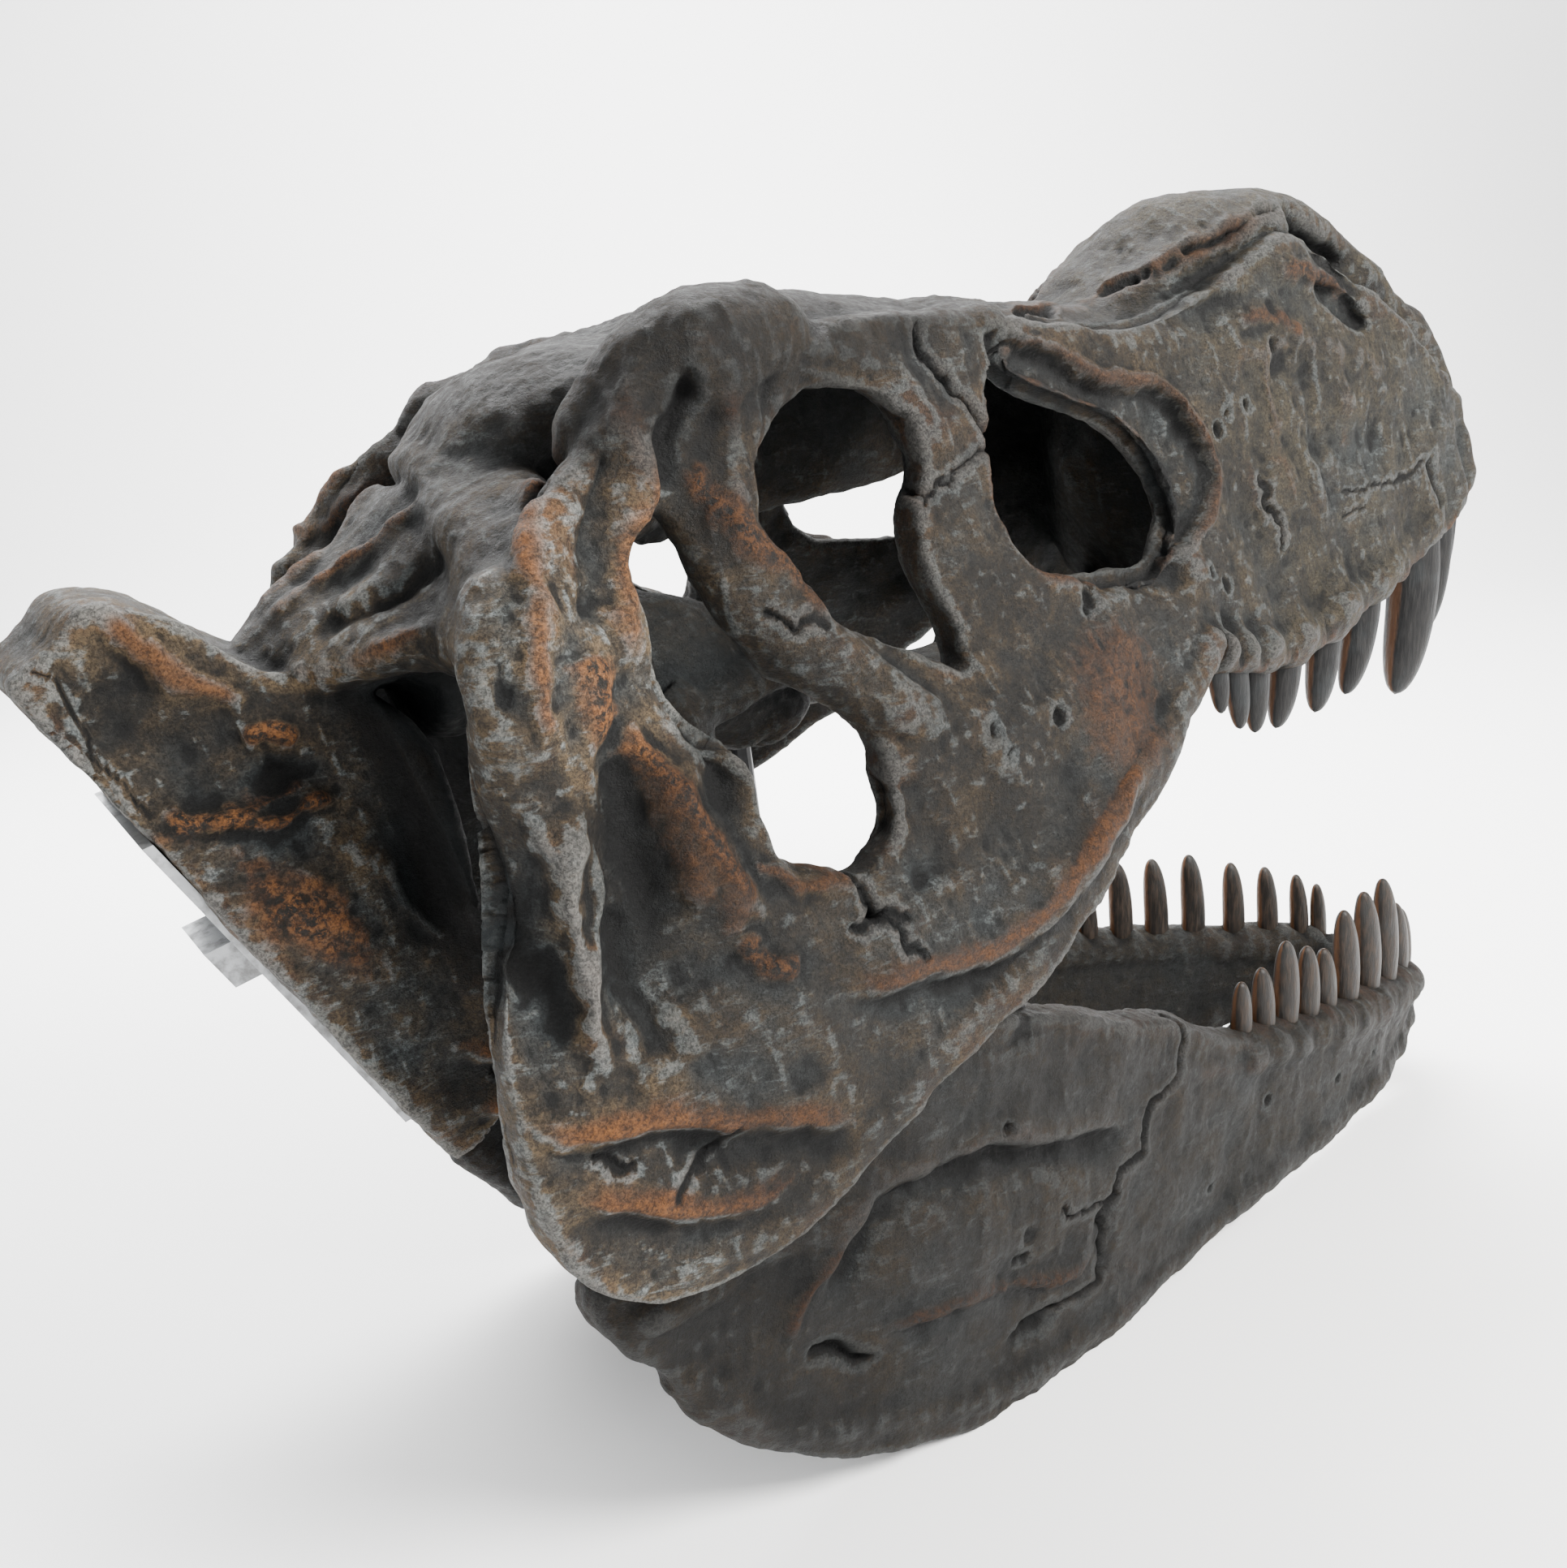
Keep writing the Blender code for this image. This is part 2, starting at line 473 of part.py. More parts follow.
# ------------------------------------------------ solid operations
def combine(thing, other, operation, solver="EXACT"):
    """The thing with the other solid united, taken away or kept in common; both objects are used up."""
    cut = thing.modifiers.new(operation, "BOOLEAN")
    cut.operation = operation
    cut.solver = solver
    cut.object = other
    mesh = baked(thing)
    bpy.data.objects.remove(other)
    return mesh


def skin(name, shapes, frame, triangles):
    """One closed skin round overlapping shapes, softened and thinned to about the wanted triangles."""
    thing = voxelled(add_object(name, to_mesh(name, place(shapes, frame))), VOXEL)
    smooth = thing.modifiers.new("soften", "SMOOTH")
    smooth.factor = 0.5
    smooth.iterations = 4
    mesh = baked(thing)
    mesh.calc_loop_triangles()
    thing = add_object(name, mesh)
    thin = thing.modifiers.new("thin", "DECIMATE")
    thin.ratio = triangles / len(mesh.loop_triangles)
    return baked(thing)


def largest_body(mesh):
    """Keep the biggest connected body, so that crumbs left by a cut don't stay in the node."""
    shape = bmesh.new()
    shape.from_mesh(mesh)
    bmesh.ops.remove_doubles(shape, verts=shape.verts, dist=0.00002)
    bmesh.ops.dissolve_degenerate(shape, edges=shape.edges, dist=0.00002)
    shape.verts.ensure_lookup_table()
    seen, bodies = set(), []
    for start in shape.verts:
        if start in seen:
            continue
        body, queue = [], [start]
        seen.add(start)
        while queue:
            vert = queue.pop()
            body.append(vert)
            for edge in vert.link_edges:
                other = edge.other_vert(vert)
                if other not in seen:
                    seen.add(other)
                    queue.append(other)
        bodies.append(body)
    bodies.sort(key=len)
    bmesh.ops.delete(shape, geom=[v for body in bodies[:-1] for v in body], context="VERTS")
    shape.to_mesh(mesh)
    shape.free()
    return mesh


def grow(polygon, distance):
    """The polygon with every side moved outward by the distance."""
    points = [Vector(p) for p in polygon]
    turn_sum = sum(a.cross(b) for a, b in zip(points, points[1:] + points[:1]))
    way = 1 if turn_sum > 0 else -1
    out = []
    for before, here, after in zip(points[-1:] + points[:-1], points, points[1:] + points[:1]):
        first = (here - before).normalized()
        second = (after - here).normalized()
        normal_a = Vector((first.y, -first.x)) * way
        normal_b = Vector((second.y, -second.x)) * way
        middle = (normal_a + normal_b).normalized()
        out.append(here + middle * (distance / max(0.2, middle.dot(normal_a))))
    return out


def prism(polygon, low_y, high_y, frame):
    """A solid over a polygon in x-z between two y values."""
    count = len(polygon)
    verts = [(x, y, z) for y in (low_y, high_y) for x, z in polygon]
    faces = [tuple(range(count)), tuple(range(2 * count - 1, count - 1, -1))]
    faces += [(i, i + count, (i + 1) % count + count, (i + 1) % count) for i in range(count)]
    thing = add_object("region", to_mesh("region", place([(np.array(verts), faces)], frame)))
    shape = bmesh.new()
    shape.from_mesh(thing.data)
    bmesh.ops.recalc_face_normals(shape, faces=shape.faces)
    shape.to_mesh(thing.data)
    shape.free()
    return thing


def part_out(whole, regions, frame):
    """Cut the whole into named nodes, region after region: (name, polygon, low y, high y).

    The EXACT solver gives an empty occiput and an open quadratojugal on these skins, so MANIFOLD
    cuts them.
    """
    made = {}
    for name, polygon, low, high in regions:
        region = prism(polygon, low, high, frame)
        piece = combine(add_object(name, whole.copy()), region, "INTERSECT", "MANIFOLD")
        made[name] = largest_body(piece)
        rest = prism(grow(polygon, GAP), low - GAP, high + GAP, frame)
        whole = combine(add_object("rest", whole), rest, "DIFFERENCE", "MANIFOLD")
    return made


def sides(name, polygon, low, high):
    """The same region on the right and on the left, between two distances from the middle plane."""
    return [(name + "_right", polygon, -high, -low), (name + "_left", polygon, low, high)]


# ------------------------------------------------ sutures: regions in the side view, first come first served
FAR = 0.6
HALF = GAP / 2
PREMAXILLA = [
    (1.185, FAR), (1.215, 0.10), (1.220, 0.03), (1.172, -0.16), (1.165, -0.3), (1.6, -0.3), (1.6, FAR),
]
NASALS = [
    (0.605, FAR), (0.605, 0.405), (0.640, 0.392), (0.740, 0.385), (0.90, 0.385), (1.02, 0.370),
    (1.12, 0.310), (1.205, 0.215), (1.30, 0.215), (1.30, FAR),
]
NECK = [(-0.4, FAR), (0.02, FAR), (0.050, 0.34), (0.056, 0.20), (0.050, -0.10), (-0.4, -0.10)]
PALATE = [
    (0.150, 0.345), (0.250, 0.330), (0.330, 0.330), (0.40, 0.30), (0.864, 0.20), (0.864, -0.10),
    (0.10, -0.10), (0.10, 0.262), (0.150, 0.262),
]
ROOF = [(0.232, FAR), (0.232, 0.30), (0.604, 0.30), (0.604, FAR)]
SQUAMOSAL = [
    (0.270, FAR), (0.268, 0.300), (0.215, 0.295), (0.150, 0.262), (0.102, 0.250), (0.102, FAR),
]
OCCIPUT = [(0.300, FAR), (0.300, 0.38), (0.160, 0.262), (0.02, 0.262), (0.02, FAR)]
POSTORBITAL = [
    (0.220, FAR), (0.268, 0.300), (0.285, 0.268), (0.385, 0.262), (0.390, 0.38), (0.470, 0.44),
    (0.480, FAR),
]
LACRIMAL = [
    (0.470, FAR), (0.470, 0.40), (0.430, 0.205), (0.50, 0.190), (0.625, 0.215), (0.640, 0.30),
    (0.615, 0.40), (0.615, FAR),
]
JUGAL = [
    (0.27, 0.28), (0.320, 0.100), (0.275, -0.20), (0.70, -0.20), (0.715, 0.03), (0.640, 0.225),
    (0.42, 0.30),
]
QUADRATOJUGAL = [(-0.2, 0.30), (0.32, 0.30), (0.33, 0.05), (0.33, -0.3), (-0.2, -0.3)]
MAXILLA = [(0.55, FAR), (0.55, -0.3), (1.3, -0.3), (1.3, FAR)]
CRANIUM_REGIONS = [
    ("premaxilla", PREMAXILLA, -FAR, FAR),
    ("nasals", NASALS, -FAR, FAR),
    ("neck_stub", NECK, -0.16, 0.16),
    ("palate", PALATE, -0.125, 0.125),
    ("skull_roof", ROOF, -0.112, 0.112),
    *sides("squamosal", SQUAMOSAL, 0.140, FAR),
    ("occiput", OCCIPUT, -FAR, FAR),
    *sides("postorbital", POSTORBITAL, 0.05, FAR),
    *sides("lacrimal", LACRIMAL, 0.05, FAR),
    *sides("jugal", JUGAL, 0.05, FAR),
    *sides("quadratojugal", QUADRATOJUGAL, 0.05, FAR),
    *sides("maxilla", MAXILLA, HALF, FAR),
]
DENTARY = [
    (0.640, 0.25), (0.610, 0.060), (0.590, 0.005), (0.530, -0.035), (0.490, -0.090), (0.450, -0.150),
    (0.370, -0.30), (1.4, -0.30), (1.4, 0.25),
]
ANGULAR = [(0.56, -0.075), (-0.02, -0.095), (-0.2, -0.10), (-0.2, -0.4), (0.56, -0.4)]
SURANGULAR = [(-0.3, 0.4), (-0.3, -0.2), (0.7, -0.2), (0.7, 0.4)]
JAW_REGIONS = [
    *sides("dentary", DENTARY, HALF, FAR),
    *sides("angular", ANGULAR, HALF, FAR),
    *sides("surangular", SURANGULAR, HALF, FAR),
]


# ------------------------------------------------ the rods and the plate at the back
def head_point(x, y, z):
    return HEAD @ Vector((x, y, z))


def cylinder(name, foot, top, radius, sides_round=12):
    mesh = bpy.data.meshes.new(name)
    shape = bmesh.new()
    size = {"radius1": radius, "radius2": radius, "depth": (top - foot).length}
    bmesh.ops.create_cone(shape, cap_ends=True, segments=sides_round, **size)
    aim = (top - foot).to_track_quat("Z", "Y").to_matrix().to_4x4()
    bmesh.ops.transform(shape, matrix=Matrix.Translation((foot + top) / 2) @ aim, verts=shape.verts)
    shape.to_mesh(mesh)
    shape.free()
    return add_object(name, mesh)


def rod_ends(side):
    foot_x, foot_z = ROD_FOOT
    return [head_point(foot_x + ROD_LEAN * reach, side * ROD_SPAN, foot_z + reach) for reach in ROD_REACH]


def rod_hole(side):
    """The socket a rod sits in, a gap wider and longer than the rod."""
    low, high = rod_ends(side)
    along = (high - low).normalized() * GAP
    return cylinder("socket", low - along, high + along, ROD_RADIUS + GAP)


def finish(name, mesh, colour, metallic=0.0, roughness=0.7, smooth=0.0):
    """Link a node with its own material."""
    mesh.name = name
    thing = add_object(name, mesh)
    material = bpy.data.materials.new(name)
    material.use_nodes = True
    shader = material.node_tree.nodes["Principled BSDF"]
    shader.inputs["Base Color"].default_value = colour
    shader.inputs["Metallic"].default_value = metallic
    shader.inputs["Roughness"].default_value = roughness
    mesh.materials.clear()
    mesh.materials.append(material)
    if smooth:
        mesh.shade_smooth()
        mesh.set_sharp_from_angle(angle=math.radians(smooth))
    return thing


def back_slab(near, far, low, high, half):
    """A slab along the sawn back of the neck stub: depths behind the cut, heights, half width."""
    corners = ((near, low), (near, high), (far, high), (far, low))
    outline = [(CUT_AT + CUT_SLOPE * z - depth, z) for depth, z in corners]
    return prism(outline, -half, half, HEAD)


def main():
    for old in list(bpy.data.objects):
        bpy.data.objects.remove(old)

    cranium = skin("cranium", cranium_shapes() + stub_shape(), HEAD, CRANIUM_TRIANGLES)
    jaw = skin("jaw", jaw_shapes(), JAW, JAW_TRIANGLES)

    # saw the neck stub flat
    cranium = combine(add_object("cranium", cranium), back_slab(0, 0.5, -0.3, 0.7, 0.4), "DIFFERENCE")

    # plant the teeth
    row = add_object("row", to_mesh("row", place(upper_teeth(), HEAD)))
    cranium = combine(add_object("cranium", cranium), row, "UNION")
    row = add_object("row", to_mesh("row", place(lower_teeth(), JAW)))
    jaw = combine(add_object("jaw", jaw), row, "UNION")

    # sockets for the rods
    for side in (-1, 1):
        cranium = combine(add_object("cranium", cranium), rod_hole(side), "DIFFERENCE")
        jaw = combine(add_object("jaw", jaw), rod_hole(side), "DIFFERENCE")

    # flats that the jaw rests on
    floor = min(v.co.z for v in jaw.vertices) + FLOOR_CUT
    below = prism([(-1, floor), (2, floor), (2, floor - 0.5), (-1, floor - 0.5)], -1, 1, Matrix())
    jaw = combine(add_object("jaw", jaw), below, "DIFFERENCE")

    for mesh_whole, regions, frame in ((cranium, CRANIUM_REGIONS, HEAD), (jaw, JAW_REGIONS, JAW)):
        for name, mesh in part_out(mesh_whole, regions, frame).items():
            finish(name, mesh, BONE_COLOUR, roughness=0.75)

    for side, label in ((-1, "right"), (1, "left")):
        rod = cylinder("rod", *rod_ends(side), ROD_RADIUS)
        finish("stand_rod_" + label, baked(rod), ROD_COLOUR, 0.3, 0.45, 40)
    strip = back_slab(GAP, PLATE_BACK, *PLATE_HEIGHTS, PLATE_HALF)
    finish("stand_wall_plate", baked(strip), PLATE_COLOUR, 1.0, 0.4)
    hook = back_slab(PLATE_BACK + GAP, HOOK_BACK, *HOOK_HEIGHTS, HOOK_HALF)
    finish("stand_wall_hook", baked(hook), PLATE_COLOUR, 1.0, 0.4)

    # stand the whole on the floor with its box centred over the origin
    things = [o for o in bpy.data.objects if o.type == "MESH"]
    corners = np.array([v.co for o in things for v in o.data.vertices])
    low, high = corners.min(axis=0), corners.max(axis=0)
    shift = Matrix.Translation((-(low[0] + high[0]) / 2, -(low[1] + high[1]) / 2, -low[2]))
    for thing in things:
        thing.data.transform(shift)


main()
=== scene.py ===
# %% [markdown]
# ## A fossil skull that stands on its own jaw
# The solids of the skull come from model.glb, and they fix its size and its place. This lesson
# dresses them: the fused bones become one fine skin, the teeth become smooth curved cones, and
# all of it gets the dark, dry-brushed finish of old mineralised bone.
# We start by loading the imported frame, and we keep its box, because the looks may not grow it.

# %% Load the frame
import math

import bpy
import numpy as np
from mathutils import Matrix, Vector
from mathutils.bvhtree import BVHTree
from mathutils.kdtree import KDTree


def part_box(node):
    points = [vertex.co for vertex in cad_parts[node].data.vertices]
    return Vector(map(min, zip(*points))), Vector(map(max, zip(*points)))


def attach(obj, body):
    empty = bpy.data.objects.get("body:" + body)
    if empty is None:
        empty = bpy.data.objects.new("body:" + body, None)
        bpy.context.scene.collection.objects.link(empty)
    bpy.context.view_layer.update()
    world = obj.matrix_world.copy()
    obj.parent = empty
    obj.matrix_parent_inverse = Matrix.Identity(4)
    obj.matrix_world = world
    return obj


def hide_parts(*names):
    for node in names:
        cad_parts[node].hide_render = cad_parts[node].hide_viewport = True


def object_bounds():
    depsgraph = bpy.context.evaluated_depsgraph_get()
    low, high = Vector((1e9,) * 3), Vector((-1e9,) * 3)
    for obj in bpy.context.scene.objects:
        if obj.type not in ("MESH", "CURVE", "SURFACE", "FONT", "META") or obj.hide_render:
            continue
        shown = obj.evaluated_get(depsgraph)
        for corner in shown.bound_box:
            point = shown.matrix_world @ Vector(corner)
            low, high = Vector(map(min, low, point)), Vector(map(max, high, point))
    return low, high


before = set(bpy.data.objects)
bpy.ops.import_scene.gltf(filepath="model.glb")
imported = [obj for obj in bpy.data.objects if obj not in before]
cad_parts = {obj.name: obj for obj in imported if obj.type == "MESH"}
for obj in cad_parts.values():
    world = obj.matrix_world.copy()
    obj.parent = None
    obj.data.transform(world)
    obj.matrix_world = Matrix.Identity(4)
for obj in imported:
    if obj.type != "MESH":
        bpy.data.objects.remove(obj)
cad_box = [list(corner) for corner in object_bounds()]
BONES = [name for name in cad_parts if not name.startswith("stand_")]
print("solids of bone:", len(BONES), "box:", [round(v, 3) for corner in cad_box for v in corner])

# %% [markdown]
# ### Two frames
# The cranium is tilted nose up and the jaw hangs open below it. Each is easiest to draw level,
# in a frame of its own with x forward and z up, so we build there and turn the result at the
# end. The right-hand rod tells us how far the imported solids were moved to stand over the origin.

# %% The cranium's frame and the jaw's frame
PITCH = 13.0
GAPE = 20.0
JOINT = (0.054, -0.147)
ROD_SPAN = 0.21
ROD_FOOT = (0.437, -0.160)
ROD_LEAN = 0.16
ROD_REACH = (-0.035, 0.245)


def turn(angle):
    """Rotation about Y that lifts +X by the angle."""
    return Matrix.Rotation(-math.radians(angle), 4, "Y")


def rod_ends(side):
    foot_x, foot_z = ROD_FOOT
    ends = [(foot_x + ROD_LEAN * reach, side * ROD_SPAN, foot_z + reach) for reach in ROD_REACH]
    return [turn(PITCH) @ Vector(end) for end in ends]


rod_low, rod_high = (Vector(corner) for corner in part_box("stand_rod_right"))
first, last = rod_ends(-1)
MOVE = Matrix.Translation((rod_low + rod_high) / 2 - (first + last) / 2)
HEAD = MOVE @ turn(PITCH)
JAW = HEAD @ Matrix.Translation((JOINT[0], 0, JOINT[1])) @ turn(-GAPE)
print("the solids were moved by", [round(v, 4) for v in MOVE.translation])

# %% [markdown]
# ### Camera
# The skull is seen from its right, a little from behind and from above, with a normal lens.
# The camera's place and its axes were worked out in the cranium's frame, so we turn them with
# the cranium into the room.

# %% Camera
SEEN_FROM = (-0.2217, -1.1703, 0.6635)
RIGHTWARD = Vector((0.7984, -0.5469, -0.2519))
DOWNWARD = Vector((-0.4270, -0.2194, -0.8772))
lens_data = bpy.data.cameras.new("camera")
lens_data.lens = 35.96
lens_data.sensor_width = 36.0
lens_data.clip_start = 0.05
lens_data.clip_end = 60.0
camera = bpy.data.objects.new("camera", lens_data)
bpy.context.scene.collection.objects.link(camera)
turned = HEAD.to_3x3()
axes = [turned @ RIGHTWARD, turned @ -DOWNWARD, turned @ RIGHTWARD.cross(-DOWNWARD)]
camera.matrix_world = Matrix.Translation(HEAD @ Vector(SEEN_FROM)) @ Matrix(axes).transposed().to_4x4()
bpy.context.scene.camera = camera
print("camera height over the floor:", round(camera.matrix_world.translation.z, 3))

# %% [markdown]
# ### Shapes from curves
# Bone has few straight lines, so every form here is either a loft, a tube whose size changes
# along a smooth curve, or a plate cut from a rounded outline and bent. Overlapping forms are
# later melted into one skin, which gives the soft joins that grown bone has.

# %% Curves, lofts and plates
def mm(rows):
    """Rows of numbers that are drawn in millimetres, in metres."""
    return [tuple(value / 1000 for value in row) for row in rows]


def spline(points, steps, closed=False):
    """Catmull-Rom curve through rows of numbers."""
    rows = np.array(points, float)
    if closed:
        rows = np.vstack([rows[-1], rows, rows[0], rows[1]])
    else:
        rows = np.vstack([2 * rows[0] - rows[1], rows, 2 * rows[-1] - rows[-2]])
    out = []
    for a, b, c, d in zip(rows, rows[1:], rows[2:], rows[3:]):
        for t in np.arange(steps) / steps:
            square = (2 * a - 5 * b + 4 * c - d) * t**2
            cube = (3 * b - a - 3 * c + d) * t**3
            out.append(0.5 * (2 * b + (c - a) * t + square + cube))
    if not closed:
        out.append(rows[-2])
    return np.array(out)


def blend(x, knots):
    """Read a value at x from (x, value) knots."""
    at, value = np.array(knots).T
    return np.interp(x, at, value)


def loft(path, wide=(0, 1, 0), sides=28, steps=8, power=2.0):
    """Closed solid along rows of (x, y, z, half size along wide, half size across it)."""
    rows = spline(path, steps)
    centre, size = rows[:, :3], np.maximum(rows[:, 3:], 0.0008)
    tangent = np.gradient(centre, axis=0)
    tangent /= np.linalg.norm(tangent, axis=1)[:, None]
    wide = np.array(wide, float)
    first = wide - tangent * (tangent @ wide)[:, None]
    first /= np.linalg.norm(first, axis=1)[:, None]
    second = np.cross(tangent, first)
    angle = np.arange(sides) * math.tau / sides
    c, s = np.cos(angle), np.sin(angle)
    c = np.sign(c) * abs(c) ** (2 / power)
    s = np.sign(s) * abs(s) ** (2 / power)
    ring = centre[:, None] + first[:, None] * (size[:, :1] * c)[..., None]
    ring = ring + second[:, None] * (size[:, 1:] * s)[..., None]
    count = len(centre)
    start = centre[0] - tangent[0] * size[0].min() * 0.6
    end = centre[-1] + tangent[-1] * size[-1].min() * 0.6
    verts = np.vstack([ring.reshape(-1, 3), start, end])
    faces = []
    for i in range(count - 1):
        for j in range(sides):
            k = (j + 1) % sides
            faces.append((i * sides + j, i * sides + k, (i + 1) * sides + k, (i + 1) * sides + j))
    for j in range(sides):
        k = (j + 1) % sides
        faces.append((k, j, count * sides))
        faces.append(((count - 1) * sides + j, (count - 1) * sides + k, count * sides + 1))
    return verts, faces


def join(shapes):
    """Stack (verts, faces) shapes into one."""
    verts, faces, start = [], [], 0
    for v, f in shapes:
        verts.append(v)
        faces += [tuple(start + i for i in face) for face in f]
        start += len(v)
    return np.vstack(verts), faces


def mirror(shape):
    verts, faces = shape
    return verts * (1, -1, 1), [face[::-1] for face in faces]


def both(shapes):
    """The drawn right-hand shapes and their left-hand copies."""
    return [s for shape in shapes for s in (shape, mirror(shape))]

# %% [markdown]
# ### Meshes in and out
# Blender keeps meshes as objects, and NumPy works on plain arrays of numbers. These helpers
# carry a shape from one to the other, and bake a modifier's result into a plain mesh.

# %% Between Blender and NumPy
def add_object(name, data):
    thing = bpy.data.objects.new(name, data)
    bpy.context.scene.collection.objects.link(thing)
    return thing


def to_mesh(name, verts, faces):
    mesh = bpy.data.meshes.new(name)
    mesh.from_pydata(np.asarray(verts).tolist(), [], faces)
    mesh.validate()
    return mesh


def baked(thing):
    """The object's mesh with its modifiers applied; the object itself is removed."""
    depsgraph = bpy.context.evaluated_depsgraph_get()
    mesh = bpy.data.meshes.new_from_object(thing.evaluated_get(depsgraph))
    bpy.data.objects.remove(thing)
    return mesh


def placed(points, place):
    """Points turned and moved by a 4 x 4 matrix."""
    matrix = np.array(place)
    return points @ matrix[:3, :3].T + matrix[:3, 3]


def store(mesh, label, values):
    """Keep one number per point, for the paint to read."""
    mesh.attributes.new(label, "FLOAT", "POINT").data.foreach_set("value", values.astype(np.float32))


def vertices_of(mesh):
    flat = np.empty(len(mesh.vertices) * 3, np.float32)
    mesh.vertices.foreach_get("co", flat)
    return flat.reshape(-1, 3).astype(float)


def melted(name, mesh, voxel):
    """One closed skin round everything in the mesh."""
    thing = add_object(name, mesh)
    remesh = thing.modifiers.new("one skin", "REMESH")
    remesh.mode = "VOXEL"
    remesh.voxel_size = voxel
    return baked(thing)


def plate(outline, holes, half, bend, voxel):
    """A plate with rounded outline and holes in x-z; bend(x, z) gives how far out its middle lies."""
    curve = bpy.data.curves.new("outline", "CURVE")
    curve.dimensions = "2D"
    curve.fill_mode = "BOTH"
    curve.extrude = half
    for ring in [outline] + holes:
        points = spline(ring, 6, closed=True)
        line = curve.splines.new("POLY")
        line.points.add(len(points) - 1)
        for point, (x, z) in zip(line.points, points):
            point.co = (x, z, 0, 1)
        line.use_cyclic_u = True
    mesh = melted("plate", baked(add_object("outline", curve)), voxel)
    x, z, out = vertices_of(mesh).T
    faces = [tuple(p.vertices)[::-1] for p in mesh.polygons]
    return np.column_stack([x, out - bend(x, z), z]), faces

# %% [markdown]
# ### The side wall of the cranium
# Seen from the side a tyrannosaur's skull is a bent plate of bone with four large windows: the
# nostril, the opening before the eye, the keyhole-shaped eye socket and the opening behind it.
# We cut that plate from one rounded outline and bend it to the skull's width, which is great
# at the cheeks and small at the snout.

# %% Outline, windows and width of the wall
FINE = 0.0034
CHEEK = 0.018
CHEEK_OUTLINE = mm([
    (85, 345), (130, 380), (180, 420), (240, 455), (300, 478), (365, 482), (420, 476), (500, 470),
    (570, 448), (640, 424), (720, 398), (800, 376), (880, 372), (960, 380), (1030, 388), (1090, 362),
    (1150, 308), (1210, 250), (1265, 196), (1317, 144), (1356, 91), (1364, 42), (1310, 20), (1230, 12),
    (1150, 4), (1080, -2), (990, -2), (910, 5), (840, 20), (790, 52), (750, 75), (700, 58), (640, 26),
    (560, -4), (460, -32), (380, -55), (290, -78), (230, -100), (160, -122), (90, -126), (30, -112),
    (-12, -70), (-25, -10), (-20, 60), (-5, 130), (20, 200), (50, 270),
])
NOSTRIL = mm([(1060, 340), (1092, 328), (1128, 298), (1145, 270), (1126, 266), (1094, 290), (1066, 318)])
ANTORBITAL = mm([
    (604, 388), (640, 366), (685, 334), (735, 300), (765, 255), (770, 208), (735, 178), (690, 186),
    (645, 200), (590, 220), (564, 260), (566, 325),
])
ORBIT = mm([
    (395, 440), (450, 432), (495, 405), (510, 370), (498, 338), (478, 318), (462, 275), (466, 225),
    (455, 196), (425, 222), (390, 254), (354, 280), (336, 325), (330, 380), (334, 415), (355, 436),
])
TEMPORAL = mm([
    (258, 418), (256, 404), (262, 385), (264, 350), (274, 312), (296, 264), (325, 232), (352, 196),
    (345, 160), (337, 130), (312, 116), (292, 111), (262, 124), (236, 148), (236, 180), (246, 212),
    (240, 236), (222, 258), (208, 282), (208, 320), (216, 355), (232, 392),
])
LOW_WIDTH = mm([
    (-50, 262), (200, 284), (450, 282), (650, 225), (800, 176), (950, 142), (1100, 114), (1250, 84),
    (1330, 50), (1360, 20),
])
TOP_WIDTH = mm([
    (-50, 215), (200, 190), (370, 160), (500, 134), (630, 118), (800, 100), (950, 86), (1100, 68),
    (1250, 50), (1360, 15),
])


def cheek_width(x, z):
    """Half width of the side wall at (x, z): wide low down and behind, narrow at the roof and snout."""
    up = np.clip((z + 0.05) / 0.53, 0, 1)
    up = up * up * (3 - 2 * up)
    return blend(x, LOW_WIDTH) * (1 - up) + blend(x, TOP_WIDTH) * up


print("windows in the wall:", [len(ring) for ring in (NOSTRIL, ANTORBITAL, ORBIT, TEMPORAL)])

# %% [markdown]
# ### Bars, rims and the middle of the cranium
# Round the windows run thick bars and rims. Along the middle lie the roof, the nasals, the
# braincase and the palate. Each of them is a loft of a few stations, and the neck stub behind is
# a plate that was sawn off straight.

# %% Bones of the cranium
LEFT_REAR = (0.018, -0.012, -0.030)  # the left corner behind has settled by this much


